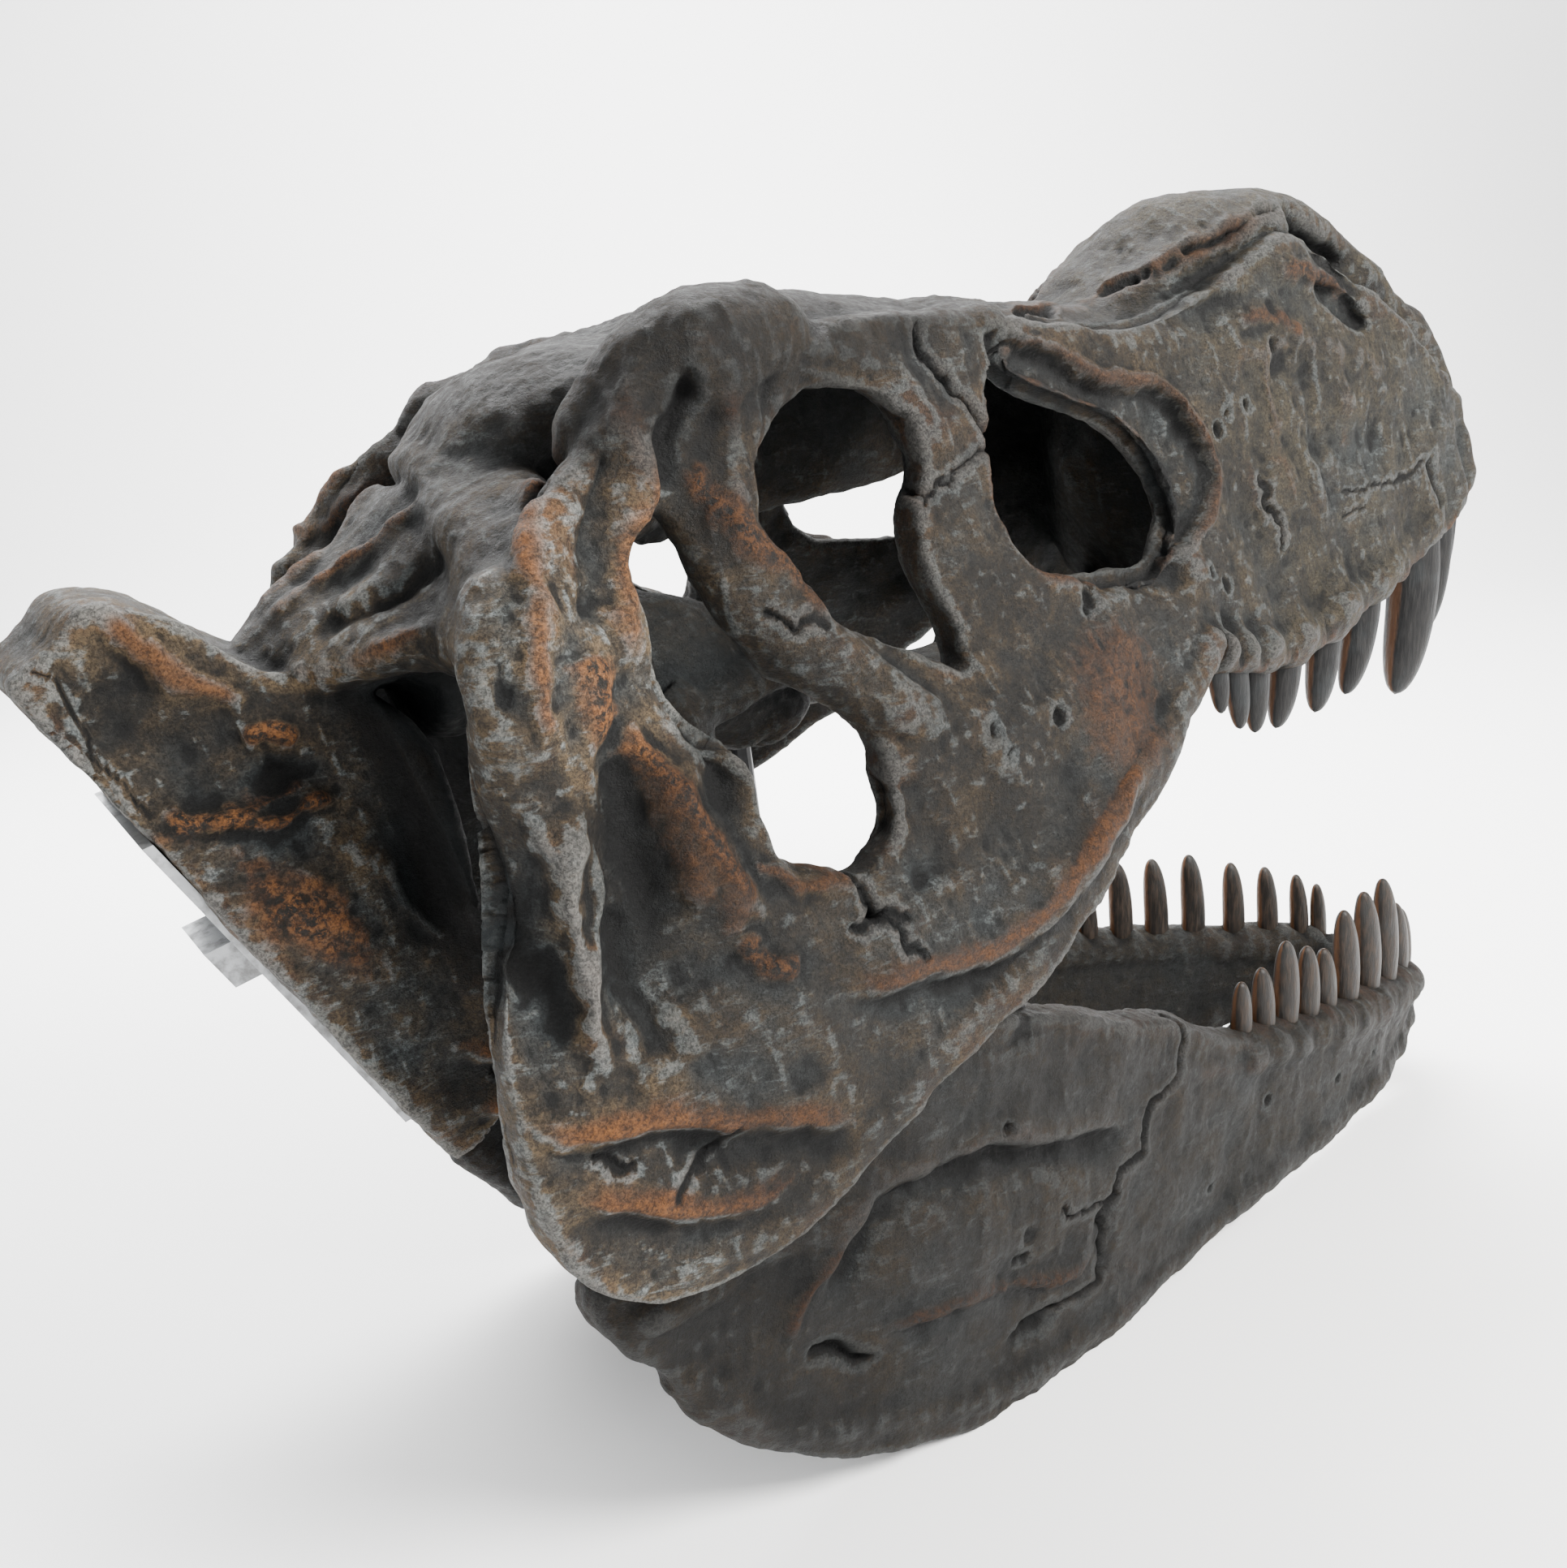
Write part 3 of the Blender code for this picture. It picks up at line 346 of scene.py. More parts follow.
def cranium_shapes():
    wall = plate(CHEEK_OUTLINE, [NOSTRIL, ANTORBITAL, ORBIT, TEMPORAL], CHEEK, cheek_width, FINE)
    lengthwise = (0, 0, 1)
    right = [
        wall,
        # postorbital boss and bar
        loft(mm([(375, -158, 464, 30, 26), (315, -182, 415, 26, 26), (300, -206, 330, 28, 26),
            (345, -232, 250, 26, 22), (404, -240, 165, 18, 14)]), (1, 0, 0)),
        # bar over the temporal opening and the squamosal's drop behind it
        loft(mm([(400, -152, 460, 30, 26), (320, -170, 464, 30, 28), (240, -186, 440, 36, 28),
            (172, -206, 388, 46, 26), (125, -234, 310, 40, 22), (92, -246, 230, 30, 20),
            (62, -246, 140, 22, 18)]), lengthwise),
        # rim over the orbit
        loft(mm([(380, -155, 468, 20, 20), (450, -140, 464, 18, 20), (550, -128, 440, 18, 20),
            (640, -118, 418, 18, 18)]), lengthwise),
        # lacrimal bar
        loft(mm([(570, -128, 430, 30, 22), (548, -140, 350, 28, 20), (522, -168, 270, 34, 20),
            (515, -196, 180, 42, 18)]), (1, 0, 0)),
        # upper and lower edges of the jugal
        loft(mm([(760, -186, 94, 18, 20), (640, -226, 50, 22, 20), (480, -278, 4, 26, 18),
            (300, -287, -50, 24, 18), (160, -286, -96, 24, 18), (50, -276, -92, 22, 18)]), lengthwise),
        # tooth-bearing edge of the maxilla and premaxilla
        loft(mm([(770, -182, 75, 20, 22), (880, -156, 30, 24, 26), (990, -133, 22, 26, 28),
            (1090, -112, 22, 26, 28), (1190, -86, 32, 26, 28), (1270, -62, 45, 26, 28),
            (1332, -20, 55, 24, 24)]), lengthwise),
        # quadrate, from the squamosal down to the jaw joint
        loft(mm([(110, -225, 380, 30, 26), (70, -232, 240, 34, 24), (45, -238, 100, 40, 26),
            (34, -238, -30, 46, 30), (36, -226, -86, 34, 40)]), (1, 0, 0)),
        # wing that ties the quadrate to the palate
        loft(mm([(60, -225, 140, 70, 14), (170, -150, 175, 60, 12), (300, -60, 190, 45, 14)]), lengthwise),
        # pterygoid, palatine and ectopterygoid
        loft(mm([(300, -40, 200, 34, 22), (400, -56, 200, 30, 18), (470, -60, 142, 30, 16),
            (560, -62, 100, 34, 14), (660, -58, 78, 36, 14), (780, -50, 70, 40, 16),
            (920, -30, 80, 30, 22)])),
        loft(mm([(500, -60, 120, 26, 18), (495, -150, 85, 24, 20), (500, -215, 65, 30, 26),
            (510, -256, 60, 34, 24)]), (1, 0, 0)),
        loft(mm([(660, -60, 76, 30, 14), (730, -120, 78, 32, 14), (790, -165, 80, 30, 18)]), (1, 0, 0)),
    ]
    middle = [
        # vaulted roof over the braincase, frontals and nasals
        loft(mm([(170, 0, 440, 80, 30), (230, 0, 466, 100, 38), (290, 0, 474, 118, 34),
            (350, 0, 468, 156, 34), (410, 0, 474, 150, 34), (470, 0, 468, 132, 34),
            (540, 0, 444, 120, 30), (620, 0, 422, 110, 24)])),
        loft(mm([(580, 0, 424, 108, 22), (660, 0, 414, 104, 26), (740, 0, 386, 96, 24),
            (810, 0, 362, 88, 24), (880, 0, 372, 80, 40), (950, 0, 390, 78, 52), (1020, 0, 396, 78, 42),
            (1090, 0, 384, 64, 40), (1150, 0, 356, 50, 34), (1210, 0, 310, 36, 32),
            (1275, 0, 246, 30, 30), (1331, 0, 177, 30, 28), (1356, 0, 100, 28, 24)])),
        # solid snout
        loft(mm([(875, 0, 215, 134, 160), (980, 0, 205, 112, 172), (1080, 0, 185, 92, 170),
            (1165, 0, 150, 72, 130), (1240, 0, 110, 58, 90), (1315, 0, 80, 36, 56)]),
             power=3.2),
        # wedge at the back of the braincase, ridged along its top
        loft(mm([(-5, 0, 352, 60, 34), (45, 0, 362, 122, 46), (100, 0, 372, 162, 50),
            (165, 0, 398, 176, 58)]), power=1.35),
        # braincase and its base
        loft(mm([(85, 0, 340, 70, 52), (190, 0, 390, 70, 60), (310, 0, 390, 62, 50),
            (430, 0, 405, 50, 50)])),
        loft(mm([(110, 0, 320, 70, 60), (220, 0, 280, 60, 60), (330, 0, 215, 56, 60),
            (390, 0, 160, 50, 50), (400, 0, 135, 40, 34)])),
        # septum between the orbits
        loft(mm([(330, 0, 400, 30, 70), (450, 0, 385, 34, 66), (550, 0, 372, 34, 68),
            (640, 0, 365, 28, 60), (700, 0, 380, 22, 34)])),
    ]
    rear = [
        # wing of the occiput and the lobe that hangs from its end
        loft(mm([(120, 10, 352, 40, 34), (118, -110, 366, 34, 34), (110, -190, 366, 36, 30),
            (102, -230, 352, 36, 28)]), lengthwise),
        loft(mm([(124, -205, 405, 34, 22), (104, -234, 370, 38, 22), (90, -250, 328, 36, 22),
            (83, -252, 300, 28, 20)]), (1, 0, 0)),
        # nuchal crest
        loft(mm([(190, 10, 458, 24, 36), (178, -80, 438, 24, 44), (154, -150, 418, 24, 44),
            (132, -200, 388, 24, 36)]), lengthwise),
    ]
    settled = [(verts + LEFT_REAR, faces) for verts, faces in map(mirror, rear)]
    # the boss over the right eye stands higher than the left one
    boss = loft(mm([(232, -150, 455, 26, 30), (285, -160, 482, 44, 44), (335, -160, 492, 52, 44),
        (385, -150, 486, 44, 38), (430, -138, 470, 26, 26)]))
    return both(right) + rear + settled + middle + [boss]


STUB_OUTLINE = mm([
    (-200, 385), (-168, 426), (-135, 442), (-100, 458), (-54, 428), (-12, 376), (45, 335), (75, 285),
    (70, 215), (50, 150), (40, 80), (30, 10), (0, -22), (-60, -30), (-90, 20), (-140, 250),
])
STUB_WIDTH = mm([(-50, 105), (50, 125), (160, 130), (240, 110), (310, 82), (400, 62), (470, 55)])
STUB_HALF = 0.10
CUT_AT = -0.041
CUT_SLOPE = -0.295


def stub_shape():
    verts, faces = plate(STUB_OUTLINE, [], STUB_HALF, lambda x, z: 0 * x, FINE)
    verts[:, 1] *= blend(verts[:, 2], STUB_WIDTH) / STUB_HALF
    verts[:, 0] = np.maximum(verts[:, 0], CUT_AT + CUT_SLOPE * verts[:, 2])
    return [(verts, faces)]


print("stations in the stub's outline:", len(STUB_OUTLINE))

# %% [markdown]
# ### The lower jaw
# Each half of the jaw is a deep bent plate with a thick keel, a brim that carries the teeth,
# and a seat for the joint at the back. The two halves meet at the chin.

# %% Bones of the jaw
JAW_WALL = 0.021
JAW_OUTLINE = mm([
    (-60, 10), (-34, 24), (0, 30), (40, 62), (110, 118), (200, 158), (290, 168), (400, 148), (480, 120),
    (566, 102), (621, 76), (690, 48), (800, 32), (900, 26), (1000, 22), (1095, 16), (1150, 10),
    (1164, -14), (1130, -46), (1085, -74), (1040, -99), (975, -119), (872, -139), (770, -154),
    (677, -169), (600, -190), (530, -209), (434, -225), (350, -231), (285, -230), (200, -214),
    (130, -192), (80, -162), (36, -121), (-8, -72), (-54, -22),
])
JAW_WIDTH = mm([
    (-100, 214), (100, 226), (300, 230), (500, 208), (700, 170), (800, 158), (900, 142), (1000, 118),
    (1080, 92), (1140, 64), (1180, 40), (1200, 18), (1210, 0),
])


def jaw_width(x, z):
    return blend(x, JAW_WIDTH)


def jaw_path(height, wide, thick, stations):
    """Rows for a loft that follows the ramus at the given height function."""
    return [(x, -float(jaw_width(x, 0)), height(x), wide, thick) for x in stations]


def jaw_shapes():
    wall = plate(JAW_OUTLINE, [], JAW_WALL, jaw_width, FINE)
    keel = mm([(0, -60), (100, -155), (300, -204), (450, -198), (600, -169), (800, -126), (980, -94),
        (1080, -66), (1140, -34)])
    brim = mm([(700, 24), (850, 10), (1000, 4), (1100, -2), (1170, -8)])
    right = [
        wall,
        loft(jaw_path(lambda x: float(blend(x, keel)), 0.026, 0.026,
                      (0.02, 0.10, 0.22, 0.36, 0.50, 0.64, 0.78, 0.90, 1.00, 1.07, 1.12)), (0, 0, 1)),
        loft(jaw_path(lambda x: float(blend(x, brim)), 0.024, 0.028,
                      (0.70, 0.80, 0.90, 0.98, 1.05, 1.10, 1.14)), (0, 0, 1)),
        # articular seat for the quadrate and the process behind it
        loft(mm([(-46, -192, -12, 30, 20), (-10, -205, -12, 46, 26), (60, -215, 0, 34, 30)])),
        # shelf of the surangular
        loft(mm([(50, -236, 10, 14, 20), (170, -240, 30, 14, 20), (300, -238, 50, 12, 18),
            (420, -224, 60, 10, 14)])),
    ]
    middle = [
        loft(mm([(1133, 0, 4, 46, 24), (1133, 0, -24, 46, 28), (1104, 0, -50, 40, 26),
            (1062, 0, -70, 36, 20)]), (0, 1, 0)),
    ]
    return both(right) + middle

# %% [markdown]
# ### Smoothing and measuring a dense skin
# A voxel remesh gives one closed skin, but it leaves little steps. We move each point towards
# the mean of its neighbours some times over, which also rounds the joins between the forms.
# Working on arrays of neighbours is much quicker than visiting points one by one.

# %% Neighbours, smoothing and normals
class Skin:
    """A dense closed surface held as arrays."""

    def __init__(self, mesh):
        self.verts = vertices_of(mesh)
        self.read(mesh)

    def read(self, mesh):
        count = len(self.verts)
        edges = np.empty(len(mesh.edges) * 2, np.int32)
        mesh.edges.foreach_get("vertices", edges)
        pairs = edges.reshape(-1, 2)
        both_ways = np.vstack([pairs, pairs[:, ::-1]])
        both_ways = both_ways[np.argsort(both_ways[:, 0], kind="stable")]
        degree = np.bincount(both_ways[:, 0], minlength=count)
        self.start = np.concatenate([[0], np.cumsum(degree)[:-1]])
        self.near = both_ways[:, 1]
        self.degree = np.maximum(degree, 1)
        mesh.calc_loop_triangles()
        triangles = np.empty(len(mesh.loop_triangles) * 3, np.int32)
        mesh.loop_triangles.foreach_get("vertices", triangles)
        self.triangles = triangles.reshape(-1, 3)

    def mean(self, values):
        """The mean of each point's neighbours."""
        total = np.add.reduceat(values[self.near], self.start, axis=0)
        return total / (self.degree[:, None] if values.ndim > 1 else self.degree)

    def soften(self, values, rounds, share=0.6):
        for _ in range(rounds):
            values = values + share * (self.mean(values) - values)
        return values

    def normals(self):
        a, b, c = (self.verts[self.triangles[:, i]] for i in range(3))
        face = np.cross(b - a, c - a)
        out = np.zeros_like(self.verts)
        for i in range(3):
            for axis in range(3):
                out[:, axis] += np.bincount(self.triangles[:, i], face[:, axis], len(out))
        return out / np.maximum(np.linalg.norm(out, axis=1), 1e-12)[:, None]

# %% [markdown]
# ### Melted together
# The lofts and plates of each half become one skin, and a few rounds of smoothing take off the
# steps that the voxels leave.

# %% Melt the cranium and the jaw
def skin_of(name, shapes, rounds):
    mesh = melted(name, to_mesh(name, *join(shapes)), FINE)
    skin = Skin(mesh)
    skin.verts = skin.soften(skin.verts, rounds)
    print(name, "has", len(skin.verts), "points")
    return mesh, skin


cranium_mesh, cranium = skin_of("cranium", cranium_shapes() + stub_shape(), 6)
jaw_mesh, jaw = skin_of("jaw", jaw_shapes(), 6)

# %% [markdown]
# ### Teeth
# The teeth are thick curved cones, a little flattened from side to side, and they bend
# backwards. The upper ones are longest behind the snout's tip. Each is lofted on its own with
# many sides, because a smooth tooth beside rough bone is what makes a jaw look real.

# %% Tooth rows
UPPER_TEETH = [
    (0.777, 0.063, 0.770, 0.011, 0.0114), (0.806, 0.046, 0.797, -0.019, 0.0131),
    (0.842, 0.035, 0.824, -0.037, 0.0148), (0.905, 0.019, 0.868, -0.055, 0.0177),
    (0.983, 0.015, 0.946, -0.076, 0.0194), (1.074, 0.010, 1.018, -0.091, 0.0205),
    (1.205, 0.015, 1.139, -0.150, 0.0308), (1.280, 0.025, 1.232, -0.115, 0.0228),
    (1.335, 0.030, 1.287, -0.105, 0.0194),
]
LOWER_RIGHT = [
    (0.720, 0.046, 0.706, 0.100, 0.0123), (0.762, 0.041, 0.742, 0.107, 0.0140),
    (0.804, 0.037, 0.784, 0.128, 0.0157), (0.848, 0.031, 0.828, 0.113, 0.0151),
    (0.890, 0.027, 0.868, 0.101, 0.0146), (0.938, 0.030, 0.908, 0.136, 0.0168),
    (0.998, 0.028, 0.962, 0.145, 0.0174), (1.052, 0.024, 1.016, 0.149, 0.0168),
    (1.108, 0.016, 1.078, 0.104, 0.0146), (1.138, 0.012, 1.112, 0.088, 0.0129),
    (1.170, 0.008, 1.150, 0.074, 0.0112),
]
LOWER_LEFT = [
    (0.727, 0.042, 0.710, 0.080, 0.0121), (0.768, 0.040, 0.752, 0.086, 0.0132),
    (0.812, 0.034, 0.799, 0.094, 0.0138), (0.862, 0.030, 0.842, 0.123, 0.0160),
    (0.914, 0.028, 0.892, 0.124, 0.0165), (0.968, 0.026, 0.945, 0.126, 0.0165),
    (1.026, 0.022, 1.006, 0.112, 0.0154), (1.074, 0.018, 1.054, 0.104, 0.0149),
    (1.116, 0.014, 1.096, 0.093, 0.0132), (1.140, 0.010, 1.124, 0.080, 0.0116),
]
UPPER_ROW = mm([(780, 178), (900, 152), (1000, 130), (1100, 108), (1200, 83), (1270, 60), (1330, 26)])
LOWER_ROW = mm([(700, 168), (850, 148), (950, 128), (1050, 100), (1100, 82), (1140, 62), (1180, 26)])
TOOTH_ROOT = 0.030
TOOTH_SPLAY = 0.004
TOOTH_SIDES = 24
TOOTH_SHAPE = [(0.0, 1.0), (0.35, 1.06), (0.60, 1.02), (0.78, 0.90), (0.90, 0.70), (0.97, 0.46), (1.0, 0.24)]


def tooth(base, tip, radius, upward):
    """A curved cone from its buried root to its rounded tip."""
    base, tip = np.array(base, float), np.array(tip, float)
    root = base - (0, 0, upward * TOOTH_ROOT)
    belly = (base[0] - tip[0]) * 0.8
    rows = []
    for t, wide in TOOTH_SHAPE:
        centre = root + (tip - root) * t
        along = centre[0] + belly * t * (1 - t)
        rows.append((along, centre[1], centre[2], radius * wide, radius * wide * 0.8))
    return loft(rows, (1, 0, 0), sides=TOOTH_SIDES, steps=5, power=1.8)


def tooth_row(table, row, side, upward):
    shapes = []
    for base_x, base_z, tip_x, tip_z, radius in table:
        out = float(blend(base_x, row))
        base = (base_x, side * out, base_z)
        tip = (tip_x, side * (out + TOOTH_SPLAY), tip_z)
        shapes.append(tooth(base, tip, radius, upward))
    return shapes


upper = tooth_row(UPPER_TEETH, UPPER_ROW, -1, -1) + tooth_row(UPPER_TEETH, UPPER_ROW, 1, -1)
lower = tooth_row(LOWER_RIGHT, LOWER_ROW, -1, 1) + tooth_row(LOWER_LEFT, LOWER_ROW, 1, 1)
print("teeth:", len(upper), "above,", len(lower), "below")

# %% [markdown]
# ### Relief: strokes and dents
# A sculptor gives a fossil its life with ridges, grooves, sutures, cracks and pits. We draw each
# of them as a line or an oval in the side view, and lift or sink the skin along its own normals.
# The distance to a line sets how much, and a stroke may be steeper on one side than on the
# other. The same strokes also say where the paint is worn to copper, where a dark wash lies in
# cracks, and where hollows, pits and grooves are painted dark as painted shade.

# %% Tools for relief
def eased(x, low, high):
    t = np.clip((x - low) / (high - low), 0, 1)
    return t * t * (3 - 2 * t)


def value_noise(points, size, seed=0):
    """Smooth noise from -1 to 1 with lumps of about the given size."""
    p = points / size + seed * 11.37
    cell = np.floor(p).astype(np.int64)
    f = p - cell
    f = f * f * (3 - 2 * f)
    total = np.zeros(len(p))
    for dx in (0, 1):
        for dy in (0, 1):
            for dz in (0, 1):
                h = (cell[:, 0] + dx) * 73856093 ^ (cell[:, 1] + dy) * 19349663 ^ (cell[:, 2] + dz) * 83492791
                h = (h ^ (h >> 13)) * 1274126177 & 0x7FFFFFFF
                weight = (f[:, 0] if dx else 1 - f[:, 0]) * (f[:, 1] if dy else 1 - f[:, 1])
                total += weight * (f[:, 2] if dz else 1 - f[:, 2]) * ((h >> 8 & 0xFFFF) / 32767.5 - 1)
    return total


def distance_to(points, line):
    """Distance to a line of points, the side it is on (+1 above or left), and how far along, 0 to 1."""
    line = np.asarray(line, float)
    length = np.concatenate([[0], np.cumsum(np.linalg.norm(np.diff(line, axis=0), axis=1))])
    best = np.full(len(points), 9.0)
    side = np.ones(len(points))
    where = np.zeros(len(points))
    for i, (a, b) in enumerate(zip(line, line[1:])):
        ab = b - a
        t = np.clip((points - a) @ ab / (ab @ ab), 0, 1)
        off = points - a - t[:, None] * ab
        gap = np.linalg.norm(off, axis=1)
        close = gap < best
        best[close] = gap[close]
        where[close] = (length[i] + t[close] * (length[i + 1] - length[i])) / length[-1]
        turn_way = ab[0] * (points[:, -1] - a[-1]) - ab[-1] * (points[:, 0] - a[0])
        side[close] = np.sign(turn_way[close])
    return best, side, where

# %% [markdown]
# ### A relief on a skin
# One object keeps how far each point of a skin is to be lifted, and the three fields for the
# paint, so that a mark can change shape and colour together.

# %% The relief class
WANDER = 0.0045  # how far a drawn line strays, broadly and finely
TREMBLE = 0.0020
# how dark the hollow under a shelf is painted: painted shade
HOLLOW_SHADE = 0.30
SHELF_HOLLOW = 0.022  # how far below a shelf its hollow lies


class Relief:
    """Strokes and dents drawn on a skin, seen from the side; both halves get them."""

    def __init__(self, skin, outer):
        self.skin = skin
        self.normal = skin.soften(skin.normals(), 4)
        self.normal /= np.linalg.norm(self.normal, axis=1)[:, None]
        self.lift = np.zeros(len(skin.verts))
        self.copper = np.zeros(len(skin.verts))
        self.dark = np.zeros(len(skin.verts))
        self.rough = np.zeros(len(skin.verts))
        self.outer = outer
        half = skin.verts * (1, 0, 1)
        half[:, 1] = abs(skin.verts[:, 1])
        self.flat = half[:, [0, 2]]
        for axis, seed in ((0, 31), (2, 32)):
            broad = value_noise(skin.verts, 0.038, seed)
            half[:, axis] += WANDER * broad + TREMBLE * value_noise(skin.verts, 0.014, seed + 2)
        self.half = half
        self.bent = half[:, [0, 2]]
        self.uneven = 1 + 0.35 * value_noise(skin.verts, 0.030, 35)

    def chosen(self, line, reach):
        """The points near enough to a line, which is flat (x, z) or solid (x, y, z)."""
        line = np.asarray(line, float)
        space = self.bent if line.shape[1] == 2 else self.half
        low, high = line.min(axis=0) - reach, line.max(axis=0) + reach
        near = np.all((space > low) & (space < high), axis=1)
        if line.shape[1] == 2:
            near &= self.outer
        index = np.nonzero(near)[0]
        return index, space[index]

    def mark(self, index, weight, copper, dark, rough):
        """Tell the paint where the surface is worn, torn or dark; the strongest mark wins. Dark marks are a wash in
        cracks and painted shade in hollows, pits and grooves.
        """
        for field, value in ((self.copper, copper), (self.dark, dark), (self.rough, rough)):
            field[index] = np.maximum(field[index], value * weight)

    def stroke(self, line, width, height, steep=1.0, copper=0.0, dark=0.0, rough=0.0, fade=0.18, smooth=True):
        """A ridge (height > 0) or groove; steep narrows the side that lies below or right of it."""
        rows = spline(line, 4) if smooth and len(line) > 2 else line
        index, points = self.chosen(rows, width * 3)
        if not len(index):
            return
        gap, side, where = distance_to(points, rows)
        span = np.where(side > 0, width, width * steep) * self.uneven[index]
        ends = eased(where, 0, fade) * eased(1 - where, 0, fade) if fade else 1.0
        weight = np.exp(-((gap / span) ** 2)) * ends
        self.lift[index] += height * weight
        self.mark(index, weight, copper, dark, rough)

    def shelf(self, line, rise, drop, back=0.040, copper=0.9, rough=0.5, fade=0.14):
        """A fold that swells up to a line from above and then falls into a hollow below it."""
        rows = spline(line, 4)
        index, points = self.chosen(rows, back * 1.6)
        gap, side, where = distance_to(points, rows)
        ends = eased(where, 0, fade) * eased(1 - where, 0, fade) * self.uneven[index]
        upper = rise * np.exp(-((gap / back) ** 1.4))
        trough = np.exp(-(((gap - SHELF_HOLLOW) / 0.016) ** 2))
        lower = rise * (1 - eased(gap, 0, 0.019)) - drop * trough * eased(gap, 0, 0.014)
        self.lift[index] += np.where(side > 0, upper, lower) * ends
        crest = np.exp(-((gap / np.where(side > 0, 0.013, 0.005)) ** 2)) * ends
        self.mark(index, crest, copper, 0.0, rough)
        # the hollow below the crest is painted dark as painted shade
        hollow = np.exp(-(((gap - SHELF_HOLLOW) / 0.012) ** 2)) * (side < 0) * ends
        self.mark(index, hollow, 0.0, HOLLOW_SHADE, 0.0)

    def crack(self, line, width=0.0022, depth=0.006, jag=0.004, seed=1):
        """A jagged break: the line is bent at random, but the same way each time."""
        dice = np.random.default_rng(seed)
        rows = np.asarray(line, float)
        for level in range(3):
            nudge = dice.normal(0, jag / 2**level, (len(rows) - 1, rows.shape[1]))
            middle = (rows[:-1] + rows[1:]) / 2 + nudge
            both_rows = np.empty((len(rows) + len(middle), rows.shape[1]))
            both_rows[0::2], both_rows[1::2] = rows, middle
            rows = both_rows
        self.stroke(rows, width, -depth, dark=1.0, fade=0.05, smooth=False)
        self.stroke(rows, width * 3.2, depth * 0.22, copper=0.25, fade=0.05, smooth=False)

    def dent(self, centre, radii, depth, copper=0.0, dark=0.0, rough=0.0, lean=0.0, hard=1.0):
        """An oval hollow (depth > 0) or boss, turned by the lean angle in degrees."""
        index, points = self.chosen([centre, centre], max(radii) * 2.2)
        if not len(index):
            return
        off = points - centre
        c, s = math.cos(math.radians(lean)), math.sin(math.radians(lean))
        along = (off[:, 0] * c + off[:, -1] * s) / radii[0]
        across = (off[:, -1] * c - off[:, 0] * s) / radii[-1]
        square = along**2 + across**2
        if off.shape[1] == 3:
            square = square + (off[:, 1] / max(radii)) ** 2
        weight = np.exp(-(square**hard))
        self.lift[index] -= depth * weight
        self.mark(index, weight, copper, dark, rough)

    def apply(self):
        self.skin.verts = self.skin.verts + self.normal * self.lift[:, None]
        self.lift[:] = 0


cranium_out = np.abs(cranium.verts[:, 1]) > cheek_width(cranium.verts[:, 0], cranium.verts[:, 2]) - 0.006
cranium_out |= (cranium.verts[:, 0] < 0.05) & (np.abs(cranium.normals()[:, 1]) > 0.35)
jaw_out = np.abs(jaw.verts[:, 1]) > jaw_width(jaw.verts[:, 0], jaw.verts[:, 2]) - 0.004
print("points on outer faces:", int(cranium_out.sum()), int(jaw_out.sum()))

# %% [markdown]
# ### Crests of the cranium
# The names follow the bones. The jugal and the quadratojugal carry three stepped crests, worn
# to copper, and at the back the bars have grown into one another.

# %% Crests and the quadrate
REAR_ROUNDS = 32


def melt_rear(skin):
    """Run the bars at the back into one another, as grown bone does."""
    x, y, z = skin.verts[:, 0], abs(skin.verts[:, 1]), skin.verts[:, 2]
    share = (1 - eased(x, 0.30, 0.42)) * eased(z, 0.14, 0.24) * eased(y, 0.05, 0.10) * eased(x, -0.01, 0.04)
    soft = skin.soften(skin.verts, REAR_ROUNDS, 0.8)
    skin.verts = skin.verts + share[:, None] * (soft - skin.verts)
    return int((share > 0.5).sum())


print("melted points at the back:", melt_rear(cranium))
face = Relief(cranium, cranium_out)

JUGAL_CREST = mm([
    (200, 64), (248, 47), (279, 34), (314, 23), (353, 11), (393, 9), (432, 12), (480, 22), (547, 41),
    (602, 58), (650, 85),
])
QUADRATE_CREST = mm([
    (-20, 96), (-1, 69), (17, 52), (44, 44), (84, 27), (121, 3), (162, -19), (209, -48), (235, -62),
])
LOWER_CREST = mm([(-20, 20), (17, -7), (48, -28), (66, -43), (93, -56), (122, -68), (153, -76), (180, -86)])


CRESTS = ((JUGAL_CREST, 0.012, 0.008), (QUADRATE_CREST, 0.009, 0.006), (LOWER_CREST, 0.006, 0.004))
for crest, rise, drop in CRESTS:
    face.shelf(crest, rise, drop, fade=0.26)
face.stroke(mm([(-3, 123), (82, 87), (133, 66), (179, 44), (235, 15)]), 0.022, 0.007)

# the quadrate's column, between two hollows; the hollows here are painted dark as painted shade
QUADRATE_RIDGE = mm([(89, 270), (91, 247), (80, 220), (65, 189), (60, 161), (55, 134), (38, 105)])
face.stroke(QUADRATE_RIDGE, 0.010, 0.013)
face.stroke(mm([(104, 240), (95, 191), (79, 166), (61, 139), (39, 112)]), 0.007, 0.006)
face.dent((0.132, 0.190), (0.028, 0.066), 0.022, dark=0.9, lean=-14)
face.dent((0.140, 0.110), (0.050, 0.024), 0.008, dark=0.4, lean=-20)
face.dent((0.030, 0.205), (0.028, 0.064), 0.020, dark=0.9, lean=-12)

